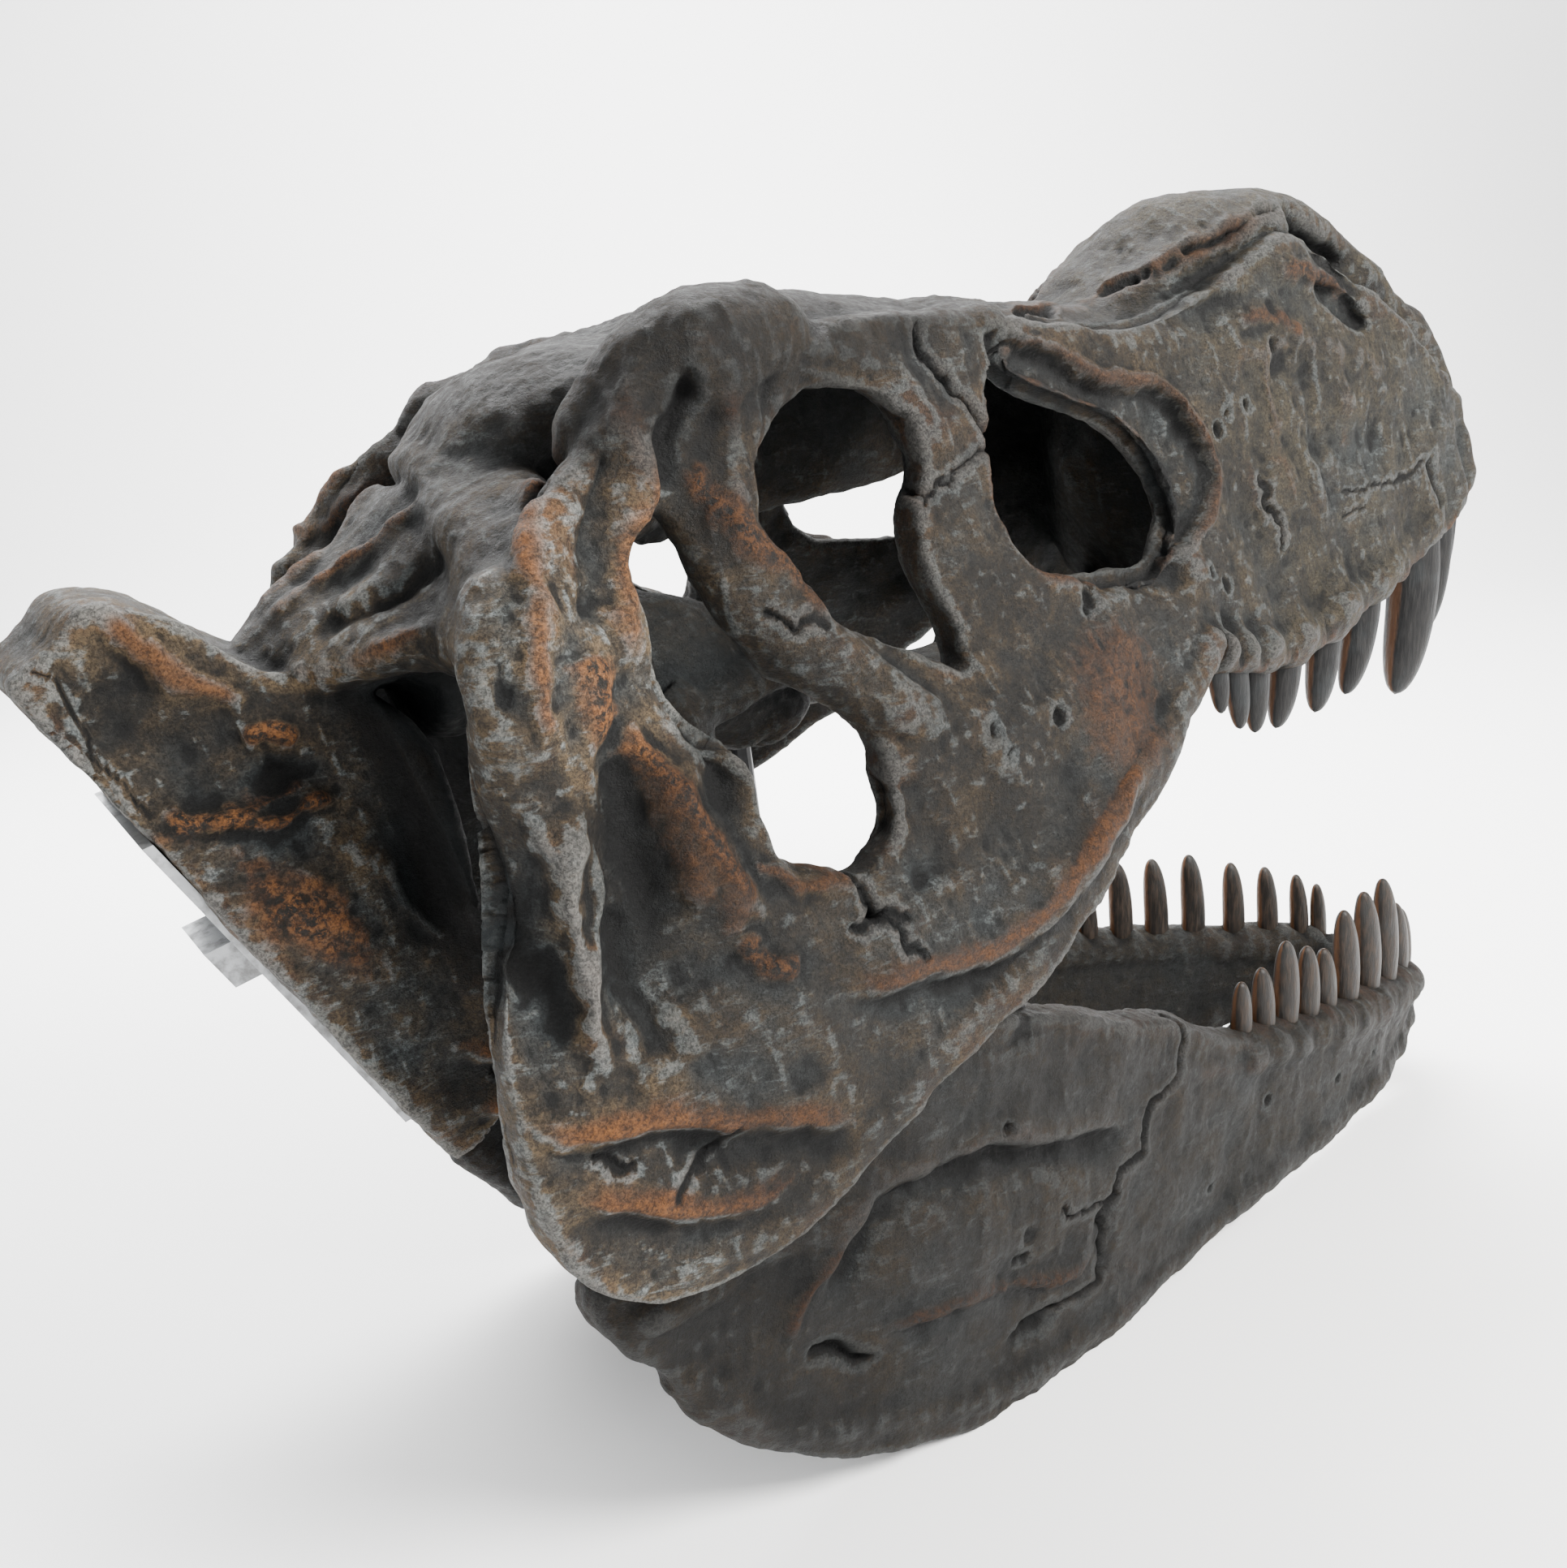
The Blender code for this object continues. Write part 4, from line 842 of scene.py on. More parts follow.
# the wing in front of it, and the rim of the temporal opening
WING_RIDGE = mm([(158, 300), (166, 265), (176, 236), (183, 208), (189, 180), (193, 150), (188, 125)])
face.stroke(WING_RIDGE, 0.014, 0.013, copper=0.85, rough=0.9)
face.dent((0.218, 0.240), (0.016, 0.050), 0.012, lean=-8)
face.stroke(mm([(205, 165), (228, 144), (250, 128), (285, 108)]), 0.007, 0.005, copper=0.6, rough=0.4)
face.stroke(mm([(186, 122), (183, 105), (197, 90), (220, 84)]), 0.009, 0.007, copper=0.7, rough=1.0)
face.stroke(mm([(355, 165), (354, 127), (346, 98), (343, 70)]), 0.018, -0.008)
face.stroke(mm([(395, 175), (400, 130), (392, 85)]), 0.016, 0.004)
face.dent((0.440, 0.085), (0.045, 0.035), 0.008)
face.crack(mm([(277, 116), (283, 92), (284, 82), (296, 68), (305, 48), (309, 32)]), 0.003, 0.008)
face.crack(mm([(262, 88), (285, 82), (301, 79), (312, 66)]), 0.003, 0.007, seed=5)
# a small pit where the cracks meet, painted dark as painted shade
face.dent((0.288, 0.082), (0.010, 0.010), 0.005, dark=0.7, rough=1.0)
face.crack(mm([(60, -34), (89, -20), (106, -14), (126, -10)]), 0.003, 0.005, seed=6)
face.crack(mm([(20, 30), (33, 15), (47, 4)]), 0.003, 0.005, seed=7)

print("largest lift so far, m:", round(float(abs(face.lift).max()), 4))

# %% [markdown]
# ### The fossa before the eye
# A sunken crescent with a thin raised lip frames the opening before the eye. We sink every
# point inside a closed ring, and ease the depth in from the lip.

# %% The crescent fossa and its lip
FOSSA_LIP = mm([
    (640, 418), (684, 386), (722, 352), (772, 329), (806, 314), (828, 286), (842, 258), (847, 232),
    (836, 206), (806, 184), (768, 176), (736, 178),
])
FOSSA_DEPTH = 0.014
fossa = FOSSA_LIP + mm([(690, 186), (700, 250), (640, 330), (604, 395)])


def inside(points, ring):
    """Even-odd test of points in a closed flat ring."""
    x, z = points[:, 0], points[:, 1]
    odd = np.zeros(len(points), bool)
    for (x0, z0), (x1, z1) in zip(ring, ring[1:] + ring[:1]):
        crosses = (z0 > z) != (z1 > z)
        odd ^= crosses & (x < (x1 - x0) * (z - z0) / (z1 - z0 + 1e-12) + x0)
    return odd


index, spots = face.chosen(FOSSA_LIP, 0.05)
gap, _, _ = distance_to(spots, spline(FOSSA_LIP, 4))
sunk = inside(spots, fossa) * eased(gap, 0.000, 0.010)
face.lift[index] -= FOSSA_DEPTH * sunk
face.rough[index] = np.maximum(face.rough[index], 0.5 * sunk)
face.stroke(FOSSA_LIP, 0.0055, 0.004, copper=0.45, rough=0.5)
face.stroke([(x, z) for x, z in spline(ANTORBITAL, 3, closed=True)], 0.005, 0.003, copper=0.45, fade=0)
print("the fossa sinks", int((sunk > 0.5).sum()), "points")

# the bar between the two openings, with its suture
face.crack(mm([(486, 333), (499, 330), (515, 336), (522, 327), (542, 336), (572, 331)]),
    0.0026, 0.006, seed=8)
face.stroke(mm([(605, 212), (658, 196), (710, 176), (768, 158)]), 0.017, -0.008)
face.stroke(mm([(629, 400), (650, 402), (680, 392)]), 0.006, 0.005, copper=0.4)
# a narrow groove, painted dark as painted shade
face.stroke(mm([(622, 428), (618, 405), (622, 380)]), 0.006, -0.011, dark=0.8)

print("largest lift so far, m:", round(float(abs(face.lift).max()), 4))

# %% [markdown]
# ### Pits, cracks and bosses of the maxilla
# The maxilla has pits where nerves came out. Each is a small round dent with a low rim, painted
# dark inside as painted shade, and broken lines stand for the sutures where bones met.

# %% The maxilla
# pits, painted dark inside as painted shade
for x, z, size, depth in mm([(984, 334, 9, 4), (972, 301, 7, 11), (980, 283, 14, 8),
    (913, 261, 4.5, 10), (886, 262, 4.5, 10), (866, 252, 5.5, 10), (785, 143, 4.5, 9),
    (808, 128, 6, 10), (522, 131, 5.5, 11), (447, 157, 6, 10), (455, 134, 4.5, 8), (617, 192, 8, 9),
    (606, 186, 4, 8), (630, 200, 3.5, 6), (130, 244, 3, 5)]):
    face.dent((x, z), (size, size), depth, dark=0.95, hard=1.5)
    face.dent((x, z), (size * 2.1, size * 2.1), -depth * 0.12)
face.stroke(mm([(925, 335), (964, 331), (1000, 316), (1024, 290)]), 0.009, 0.006, copper=0.6, rough=0.6)
face.crack(mm([(914, 193), (916, 173), (911, 156), (920, 142), (920, 127), (924, 112)]),
    0.003, 0.007, seed=9)
face.crack(mm([(1026, 134), (1077, 120), (1120, 110), (1166, 101), (1200, 104)]), 0.0022, 0.0035, seed=10)
face.crack(mm([(1022, 106), (1066, 100)]), 0.002, 0.003, seed=11)
# grooves at the front of the maxilla and along its upper edge, painted darker as painted shade
face.stroke(mm([(1205, 105), (1213, 80), (1220, 55), (1224, 35)]), 0.008, -0.011, dark=0.7, rough=0.8)
face.stroke(mm([(720, 398), (800, 376), (877, 364), (960, 345)]), 0.015, -0.009, dark=0.15)
face.stroke(mm([(1000, 362), (1050, 350), (1095, 326), (1132, 292)]), 0.012, 0.007, copper=0.6, rough=0.9)
face.dent((0.600, 0.110), (0.062, 0.066), -0.007, copper=0.80, rough=0.6, hard=1.6)
face.dent((0.690, 0.100), (0.040, 0.030), -0.004, rough=0.5)
face.stroke(mm([(840, 120), (900, 85), (1000, 75)]), 0.030, -0.005)

print("largest lift so far, m:", round(float(abs(face.lift).max()), 4))

# %% [markdown]
# ### Nasal seam and nostril
# A long seam runs over the snout where the nasals meet the maxilla, and ends in the torn edge of
# the nostril, whose grooves are painted dark as painted shade. They lie near the middle line, so
# they are drawn in three axes.

# %% The snout
NASAL_SEAM = mm([
    (634, 135, 431), (700, 88, 415), (760, 60, 402), (830, 45, 393), (875, 61, 396), (918, 66, 395),
    (950, 78, 403), (1008, 70, 406), (1041, 71, 409), (1070, 66, 407),
])
face.crack(NASAL_SEAM, 0.0048, 0.016, jag=0.005, seed=12)
face.stroke(NASAL_SEAM, 0.016, 0.004, copper=0.5, rough=0.5)
# grooves of the nostril, painted dark as painted shade
face.stroke(mm([(1060, 68, 408), (1085, 61, 388), (1105, 55, 361), (1144, 45, 341), (1174, 40, 324),
    (1201, 36, 304)]), 0.015, -0.022, dark=1.0, rough=1.4)
face.stroke(mm([(1050, 92, 398), (1085, 96, 362), (1120, 94, 322), (1145, 90, 290)]),
    0.011, -0.010, dark=0.5, rough=1.2)
for line, width, height in (
    (mm([(940, 330), (952, 270), (945, 200), (960, 130)]), 0.016, 0.005),
    (mm([(1000, 310), (1010, 240), (1002, 170), (1012, 110)]), 0.014, -0.005),
    (mm([(1060, 290), (1066, 220), (1060, 150)]), 0.015, 0.005),
    (mm([(1110, 250), (1118, 190), (1112, 130)]), 0.012, -0.004),
    (mm([(890, 230), (960, 205), (1050, 180), (1140, 140)]), 0.020, -0.005),
):
    face.stroke(line, width, height, copper=0.3 if height > 0 else 0.0, rough=0.4)

print("largest lift so far, m:", round(float(abs(face.lift).max()), 4))

# %% [markdown]
# ### The temple
# Behind the eye the bone folds round a cup. Ridges and grooves by turns make it look like
# bone that flowed and set.

# %% The temple and its folds
face.stroke(mm([(275, 440), (292, 410), (300, 384), (308, 357), (330, 330), (352, 290)]),
    0.010, 0.007, copper=0.95, rough=1.0)
face.crack(mm([(290, 320), (316, 303), (345, 290)]), 0.003, 0.006, seed=13)
# a deep groove, painted black as painted shade
face.stroke(mm([(312, 486), (285, 462), (266, 442), (260, 415)]), 0.009, -0.015, dark=1.0)
SQUAMOSAL_RIDGE = mm([
    (246, 145, 480), (215, 155, 456), (188, 165, 432), (163, 180, 419), (141, 206, 397),
    (110, 250, 370),
])
face.stroke(SQUAMOSAL_RIDGE, 0.013, 0.007, copper=0.6, rough=0.8)
face.dent((0.208, 0.400), (0.024, 0.045), 0.014, lean=30)
face.stroke(mm([(150, 350), (140, 320), (148, 285)]), 0.020, 0.006, copper=0.7, rough=1.0)
face.dent((0.360, 0.150, 0.490), (0.06, 0.05, 0.04), -0.004, copper=0.35, rough=1.1)
face.stroke(mm([(385, 466), (458, 432), (506, 391), (510, 354), (496, 334)]), 0.005, 0.004)

# folds that flow over the temple, down the squamosal and along the hanging lobe; their grooves are painted dark as
# painted shade
for fold, width, height in (
    (mm([(300, 170, 520), (262, 190, 480), (236, 205, 430), (205, 222, 370), (170, 238, 310)]), 0.012, 0.010),
    (mm([(262, 150, 500), (222, 180, 450), (190, 205, 395), (160, 228, 330)]), 0.010,
        -0.010),
    (mm([(215, 130, 470), (180, 165, 435), (148, 205, 400), (120, 235, 372)]), 0.010,
        0.010),
    (mm([(345, 170, 520), (330, 195, 470), (318, 215, 420), (312, 225, 370)]), 0.010,
        0.008),
    (mm([(375, 165, 505), (372, 185, 455), (352, 205, 400), (330, 220, 350)]), 0.009,
        -0.008),
    (mm([(130, 230, 400), (112, 252, 370), (102, 264, 335), (100, 266, 305)]), 0.008,
        0.009),
    (mm([(104, 225, 395), (85, 250, 365), (78, 262, 330)]), 0.008, -0.009),
    (mm([(4, 10, 385), (60, 20, 408), (110, 40, 420), (160, 60, 450)]), 0.010,
        0.008),
    (mm([(30, 60, 385), (80, 95, 395), (130, 120, 420)]), 0.013, -0.009),
    (mm([(4, 55, 358), (50, 110, 368), (90, 155, 378)]), 0.009, 0.008),
):
    raised = height > 0
    face.stroke(fold, width, height, copper=0.55 * raised, dark=0.35 * (not raised), rough=0.7)

print("largest lift so far, m:", round(float(abs(face.lift).max()), 4))

# %% [markdown]
# ### Flank and brow
# Broad soft folds run down the flank and along the snout, and a crack crosses the brow.

# %% Flank folds and brow
for fold, width, height, copper in (
    (mm([(76, 290), (76, 236), (70, 178), (59, 122), (40, 70)]), 0.011, 0.011, 0.15),
    (mm([(105, 190), (92, 118), (88, 60)]), 0.012, -0.013, 0.0),
    (mm([(191, 331), (205, 279), (221, 235), (223, 175)]), 0.014, -0.007, 0.0),
    (mm([(176, 262), (171, 188), (187, 110)]), 0.020, 0.007, 0.55),
    (mm([(399, 462), (455, 456), (499, 425), (524, 378), (541, 335)]), 0.014, 0.008, 0.10),
    (mm([(634, 211), (704, 184), (765, 145)]), 0.018, -0.009, 0.0),
    (mm([(870, 300), (970, 301), (1077, 262), (1164, 190)]), 0.022, 0.005, 0.25),
    (mm([(828, 194), (884, 150), (937, 80)]), 0.024, -0.006, 0.0),
    (mm([(330, 240), (420, 170), (520, 120), (600, 60)]), 0.030, 0.006, 0.0),
    (mm([(60, 0), (150, -50), (230, -85)]), 0.020, -0.006, 0.0),
    (mm([(700, 240), (800, 120), (900, 60)]), 0.020, 0.005, 0.0),
):
    # grooves deeper than 8 mm are painted dark as painted shade
    face.stroke(fold, width, height, copper=copper, dark=0.45 if height < -0.008 else 0.0, rough=0.4)
face.crack(mm([(542, 458), (544, 421), (555, 392), (575, 345), (590, 325)]), 0.0034, 0.009, seed=15)
for fold, width, height in (
    (mm([(238, 205, 480), (203, 215, 440), (180, 230, 395), (176, 240, 345)]), 0.020,
        -0.014),
    (mm([(283, 190, 480), (251, 205, 440), (223, 225, 395), (210, 240, 345)]), 0.009,
        0.010),
    (mm([(176, 190, 460), (148, 215, 425), (131, 235, 395), (124, 250, 350)]), 0.009,
        0.009),
):
    face.stroke(fold, width, height, copper=0.5 if height > 0 else 0.0, rough=0.5)

print("largest lift so far, m:", round(float(abs(face.lift).max()), 4))

# %% [markdown]
# ### The cavity and the neck stub
# Between the stub and the hanging lobe lies a deep hollow, which is painted dark as painted
# shade. The stub itself is cracked and worn to copper where its skin is broken.

# %% Cavity and stub
x, y, z = cranium.verts[:, 0], abs(cranium.verts[:, 1]), cranium.verts[:, 2]
# painted shade: the deep hollow between the stub and the lobe is marked dark
cavity = eased(x, 0.000, 0.045) * (1 - eased(x, 0.15, 0.20)) * (1 - eased(y, 0.205, 0.228))
cavity *= (1 - eased(z, 0.335, 0.365)) * (1 - 0.5 * eased(-z, -0.05, 0.05))
face.dark = np.maximum(face.dark, 0.80 * cavity)

# the neck stub
face.stroke(mm([(-99, 457), (-90, 437), (-77, 416), (-60, 390), (-46, 373), (-31, 356)]),
    0.008, 0.008, copper=0.5)
face.dent((-0.112, 0.390), (0.030, 0.045), 0.014, lean=-55)
face.dent((-0.080, 0.345), (0.040, 0.034), 0.016, lean=-30)
face.crack(mm([(-146, 436), (-140, 400), (-134, 355), (-120, 318)]), 0.002, 0.003, seed=14)
face.stroke(mm([(-45, 338), (-30, 338), (-12, 326)]), 0.006, 0.006, copper=0.9, rough=1.2)
face.dent((-0.034, 0.306), (0.020, 0.014), 0.020, dark=0.9, rough=0.8)
face.stroke(mm([(-104, 294), (-67, 284), (-46, 274), (-29, 280), (-5, 270)]),
    0.008, 0.010, steep=0.4, copper=0.95, rough=1.4)
face.dent((-0.108, 0.303), (0.020, 0.012), -0.003, copper=0.9, rough=1.8)
face.dent((-0.062, 0.215), (0.026, 0.062), -0.008, copper=0.85, rough=1.0, lean=28, hard=1.6)
face.stroke(mm([(-122, 322), (-92, 296), (-40, 297), (-14, 291)]),
    0.012, 0.010, steep=0.5, copper=0.7, rough=1.2)
face.stroke(mm([(4, 225), (11, 191), (21, 148)]), 0.005, 0.005)
print("points the paint sees as copper:", int((face.copper > 0.5).sum()))

# %% [markdown]
# ### Sockets
# Along the tooth row the bone bulges over every root and hangs down a little between two teeth.
# A cosine that runs from tooth to tooth gives both at once.

# %% Scalloped sockets
def scallop(relief, table, down, bulge, hang, tall):
    """Bulge the bone over each root and let its edge hang between the teeth."""
    at = np.array([r[0] for r in table])
    x, z = relief.flat[:, 0], relief.flat[:, 1]
    phase = np.interp(x, at, np.arange(len(at)))
    wave = np.cos(phase * math.tau)
    span = eased(x, at[0] - 0.02, at[0]) * (1 - eased(x, at[-1], at[-1] + 0.02))
    line = np.interp(x, at, [r[1] for r in table])
    up = (z - line) * down
    near = np.exp(-((up / tall) ** 2)) * span * relief.outer * (up > -0.03)
    relief.lift += bulge * wave * near
    relief.copper = np.maximum(relief.copper, 0.5 * near * (wave < -0.2) * np.exp(-((up / 0.012) ** 2)))
    margin = np.exp(-((up / 0.014) ** 2)) * span * relief.uneven
    relief.skin.verts[:, 2] += -down * hang * -wave * margin
    return int((near > 0.5).sum())


print("points in the upper sockets:", scallop(face, UPPER_TEETH, 1, 0.0055, 0.0095, 0.062))
face.apply()

# %% [markdown]
# ### Relief on the jaw
# The dentary meets the bones behind it in a long jagged suture with a torn pit. Behind it lie
# a shelf with a deep groove under it, an oval swelling with a worn lower edge, and small holes.
# The pit, the grooves and the holes are painted dark as painted shade.

# %% Relief on the jaw
chin = Relief(jaw, jaw_out)
JAW_SUTURE = mm([
    (560, 106), (578, 80), (568, 46), (532, 27), (523, 2), (521, -24), (487, -27), (482, -49),
    (460, -71), (470, -110), (469, -139), (437, -142), (398, -142), (369, -154), (347, -157),
])
chin.crack(JAW_SUTURE, 0.0036, 0.010, jag=0.003, seed=21)
# the groove beside the suture and the torn pit, painted dark as painted shade
chin.stroke(mm([(484, -45), (464, -75), (472, -110), (468, -140)]), 0.012, -0.006, dark=0.6, rough=1.4)
chin.dent((0.382, -0.150), (0.024, 0.010), 0.016, dark=1.0, rough=1.5, lean=18)
chin.crack(mm([(395, -33), (430, -46), (460, -52), (492, -50)]), 0.003, 0.006, seed=22)
JAW_SHELF = mm([(118, -50), (135, -8), (160, 34), (201, 56), (260, 62), (326, 58), (401, 42), (500, 14)])
chin.shelf(JAW_SHELF, 0.010, 0.014, back=0.050, copper=0.25, rough=0.4)
chin.stroke(mm([(98, -72), (110, -38), (128, -10), (147, 22)]), 0.008, 0.008, copper=0.7)
chin.dent((0.290, -0.034), (0.130, 0.046), -0.014, lean=-4, hard=1.4)
chin.stroke(mm([(180, -90), (242, -88), (272, -82), (325, -88), (385, -104), (436, -112), (462, -80)]),
    0.010, 0.007, steep=0.5, copper=0.7, rough=0.9)
# the deep groove under the swelling, painted black as painted shade
chin.stroke(mm([(117, -90), (145, -92), (167, -107), (195, -120)]), 0.006, -0.012, dark=1.0, rough=0.8)
chin.stroke(mm([(585, 43), (679, 22), (760, 6)]), 0.012, 0.004, copper=0.35)
chin.dent((0.200, 0.110), (0.110, 0.040), -0.006, lean=10)
# small holes and a small hollow, painted dark inside as painted shade
for x, z, size, depth in mm([(314, 67, 4.5, 9), (351, -45, 8.5, 6), (351, -45, 3.5, -4),
    (349, -68, 5, 8), (340, -69, 4, 7), (752, -34, 4.5, 9), (654, -104, 4, 8), (900, -50, 4, 7),
    (980, -40, 4, 7), (1060, -30, 4, 7)]):
    chin.dent((x, z), (size, size), depth, dark=0.9 if depth > 0 else 0.0, hard=1.5)
chin.dent((0.334, 0.150), (0.018, 0.014), 0.006, dark=0.8, rough=1.5)
print("points in the lower sockets:", scallop(chin, LOWER_RIGHT, -1, 0.003, 0.004, 0.030))
chin.apply()

# %% [markdown]
# ### Surface of old bone
# No part of a fossil is smooth. Broad lumps, small lumps and rough patches are added with noise
# of several sizes; the sinking strokes above say where the surface is torn. The smallest grain
# is left to the material, because a bump costs no points.

# %% Lumps and grain
def weathered(skin, relief, calm):
    verts, normal = skin.verts, skin.normals()
    lump = 0.0036 * value_noise(verts, 0.060, 1) + 0.0020 * value_noise(verts, 0.026, 2)
    fold = 1 - 2 * abs(value_noise(verts * (1, 1, 0.6), 0.016, 3))
    grain = 0.0007 * fold + 0.0005 * value_noise(verts, 0.008, 4)
    torn = 0.0018 * value_noise(verts, 0.017, 5) + 0.0012 * value_noise(verts, 0.0080, 6)
    rough = relief.rough + 0.35 * eased(value_noise(verts, 0.10, 7), 0.1, 0.7)
    drawn = verts * (1.0, 1.0, 0.55)
    ridged = 0.0034 * (0.45 - abs(value_noise(drawn, 0.046, 8)))
    ridged = ridged + 0.0007 * (0.45 - abs(value_noise(verts, 0.018, 9)))
    front = eased(verts[:, 0], 0.80, 0.95)
    ridged += front * 0.0022 * (0.45 - abs(value_noise(verts * (1.0, 1.0, 0.40), 0.024, 10)))
    ridged += 0.0011 * (0.45 - abs(value_noise(drawn, 0.011, 11)))
    skin.verts = verts + normal * ((lump + grain + ridged) * calm + torn * rough)[:, None]
    return float(abs(skin.verts - verts).max())


print("deepest weathering, m:", round(weathered(cranium, face, 1.0), 4), round(weathered(jaw, chin, 0.9), 4))

# %% [markdown]
# ### Fields for the paint
# The finish was dry-brushed: high edges caught copper and tan paint, and shallow hollows hold a
# blue-grey dust. Deep and sheltered hollows are painted almost black as painted shade. So we
# measure, for each point, how much it stands out at a fine and at a broad scale, and how much
# open air is above it, which sets the painted shade.

# %% How much a point stands out, and how sheltered it is
def stands_out(skin, rounds, scale):
    soft = skin.soften(skin.verts, rounds, 0.9)
    out = np.einsum("ij,ij->i", skin.verts - soft, skin.normals())
    return np.clip(out / scale, -1, 1)


def open_air(skins, places, rays=20, reach=0.35, wanted=9000):
    """For each skin, the share of rays that get away from each point, measured on a sample."""
    worlds = [placed(skin.verts, place) for skin, place in zip(skins, places)]
    verts, tris, start = [], [], 0
    for skin, world in zip(skins, worlds):
        verts.append(world)
        tris.append(skin.triangles + start)
        start += len(world)
    tree = BVHTree.FromPolygons(np.vstack(verts).tolist(), np.vstack(tris).tolist())
    golden = math.pi * (3 - math.sqrt(5))
    steps = (np.arange(rays) + 0.5) / rays
    fan = np.column_stack([np.sqrt(steps) * np.cos(np.arange(rays) * golden),
                           np.sqrt(steps) * np.sin(np.arange(rays) * golden), np.sqrt(1 - steps)])
    fields = []
    for skin, world, place in zip(skins, worlds, places):
        normal = skin.normals() @ np.array(place)[:3, :3].T
        pick = np.arange(0, len(world), max(1, len(world) // wanted))
        seen = np.empty(len(pick))
        finder = KDTree(len(pick))
        for k, i in enumerate(pick):
            n = Vector(normal[i])
            turn_to = n.to_track_quat("Z", "Y").to_matrix()
            start_at = Vector(world[i]) + n * 0.004
            free = sum(tree.ray_cast(start_at, turn_to @ Vector(ray), reach)[0] is None for ray in fan)
            seen[k] = free / rays
            finder.insert(world[i], k)
        finder.balance()
        nearest = np.array([finder.find(spot)[1] for spot in world])
        fields.append(skin.soften(seen[nearest], 14, 0.9))
    return fields


# the open air is what the bone finish turns into painted shade
cranium_air, jaw_air = open_air((cranium, jaw), (HEAD, JAW), rays=20)
print("mean open air:", round(float(cranium_air.mean()), 3), round(float(jaw_air.mean()), 3))

# %% [markdown]
# ### All the fields together
# Each skin gets the same set of fields, so that one finish fits both.

# %% The fields of both skins
def paint_fields(skin, relief, air):
    return {
        "edge": stands_out(skin, 3, 0.0007),
        "form": skin.soften(stands_out(skin, 40, 0.006), 3),
        "copper": np.clip(relief.copper, 0, 1),
        # dark marks: a wash in cracks, and painted shade in hollows, pits, grooves and the rear cavity
        "wash_and_shade": np.clip(skin.soften(relief.dark, 1), 0, 1),
        "torn": np.clip(relief.rough, 0, 1),
        "air": air,
    }


cranium_fields = paint_fields(cranium, face, cranium_air)
cranium_fields["snout"] = eased(cranium.verts[:, 0], 0.72, 0.98)
x, y, z = cranium.verts[:, 0], abs(cranium.verts[:, 1]), cranium.verts[:, 2]
cranium_fields["roof"] = eased(z, 0.40, 0.46) * (1 - eased(x, 0.70, 0.80)) * eased(x, 0.16, 0.24)
lobe = eased(y, 0.18, 0.22) * eased(x, 0.07, 0.11) * (1 - eased(x, 0.22, 0.30))
lobe = lobe * eased(z, 0.24, 0.30) * (1 - eased(z, 0.44, 0.50))
cranium_fields["pale"] = np.maximum(0.55 * (1 - eased(x, 0.04, 0.16)), lobe)
jaw_fields = paint_fields(jaw, chin, jaw_air)
jaw_fields["snout"] = eased(jaw.verts[:, 0], 0.50, 0.80) * 0.35
jaw_fields["roof"] = jaw_fields["pale"] = np.zeros(len(jaw.verts))
print("fields:", sorted(cranium_fields))

# %% [markdown]
# ### The skins stand in the room
# Both skins were drawn level. Now each is turned and moved to its place, clipped a hair inside
# the box of the solids, and given its paint fields. One skin hides all the bones it was made of.

# %% Put the skins in the room
CLEARANCE = 0.0002


def stand_up(name, mesh, skin, place, fields):
    """Turn the skin into the room, keep it over the floor and inside the box, and store its fields."""
    world = placed(skin.verts, place)
    world = np.clip(world, np.array(cad_box[0]) + CLEARANCE, np.array(cad_box[1]) - CLEARANCE)
    mesh.vertices.foreach_set("co", world.astype(np.float32).ravel())
    for label, values in fields.items():
        store(mesh, label, values)
    mesh.shade_smooth()
    mesh.update()
    thing = add_object(name, mesh)
    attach(thing, "root")
    return thing


skull = stand_up("cranium_skin", cranium_mesh, cranium, HEAD, cranium_fields)
mandible = stand_up("jaw_skin", jaw_mesh, jaw, JAW, jaw_fields)
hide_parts(*[name for name in BONES if not name.startswith(("dentary", "angular", "surangular"))])
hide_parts(*[name for name in BONES if name.startswith(("dentary", "angular", "surangular"))])
print("the skins replace", len(BONES), "solids")

# %% [markdown]
# ### The teeth stand in their sockets
# The teeth stay separate from the bone, so that they can have their own enamel. Each keeps a
# note of where its front and back edges run, because those are rubbed to copper.

# %% Put the teeth in the room
def edge_of(count):
    """High along the front and back edge of a lofted tooth, low on its flanks."""
    angle = np.arange(count) % TOOTH_SIDES * math.tau / TOOTH_SIDES
    return abs(np.cos(angle)) ** 6


def plant(name, shapes, place):
    """Stand a row of teeth in the room and note where each has its front and back edge."""
    verts, faces = join(shapes)
    mesh = to_mesh(name, placed(verts, place), faces)
    mesh.shade_smooth()
    store(mesh, "keel", np.concatenate([edge_of(len(shape[0])) for shape in shapes]))
    thing = add_object(name, mesh)
    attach(thing, "root")
    return thing


upper_teeth = plant("upper_teeth", upper, HEAD)
lower_teeth = plant("lower_teeth", lower, JAW)
print("points in the teeth:", len(upper_teeth.data.vertices), len(lower_teeth.data.vertices))

# %% [markdown]
# ### A small kit for node paint
# All finishes are made of shader nodes, so they have no image and can be tuned. A few short
# helpers keep the node trees readable: fields come from the skins, noise adds variation, and
# ramps and mixes combine them.

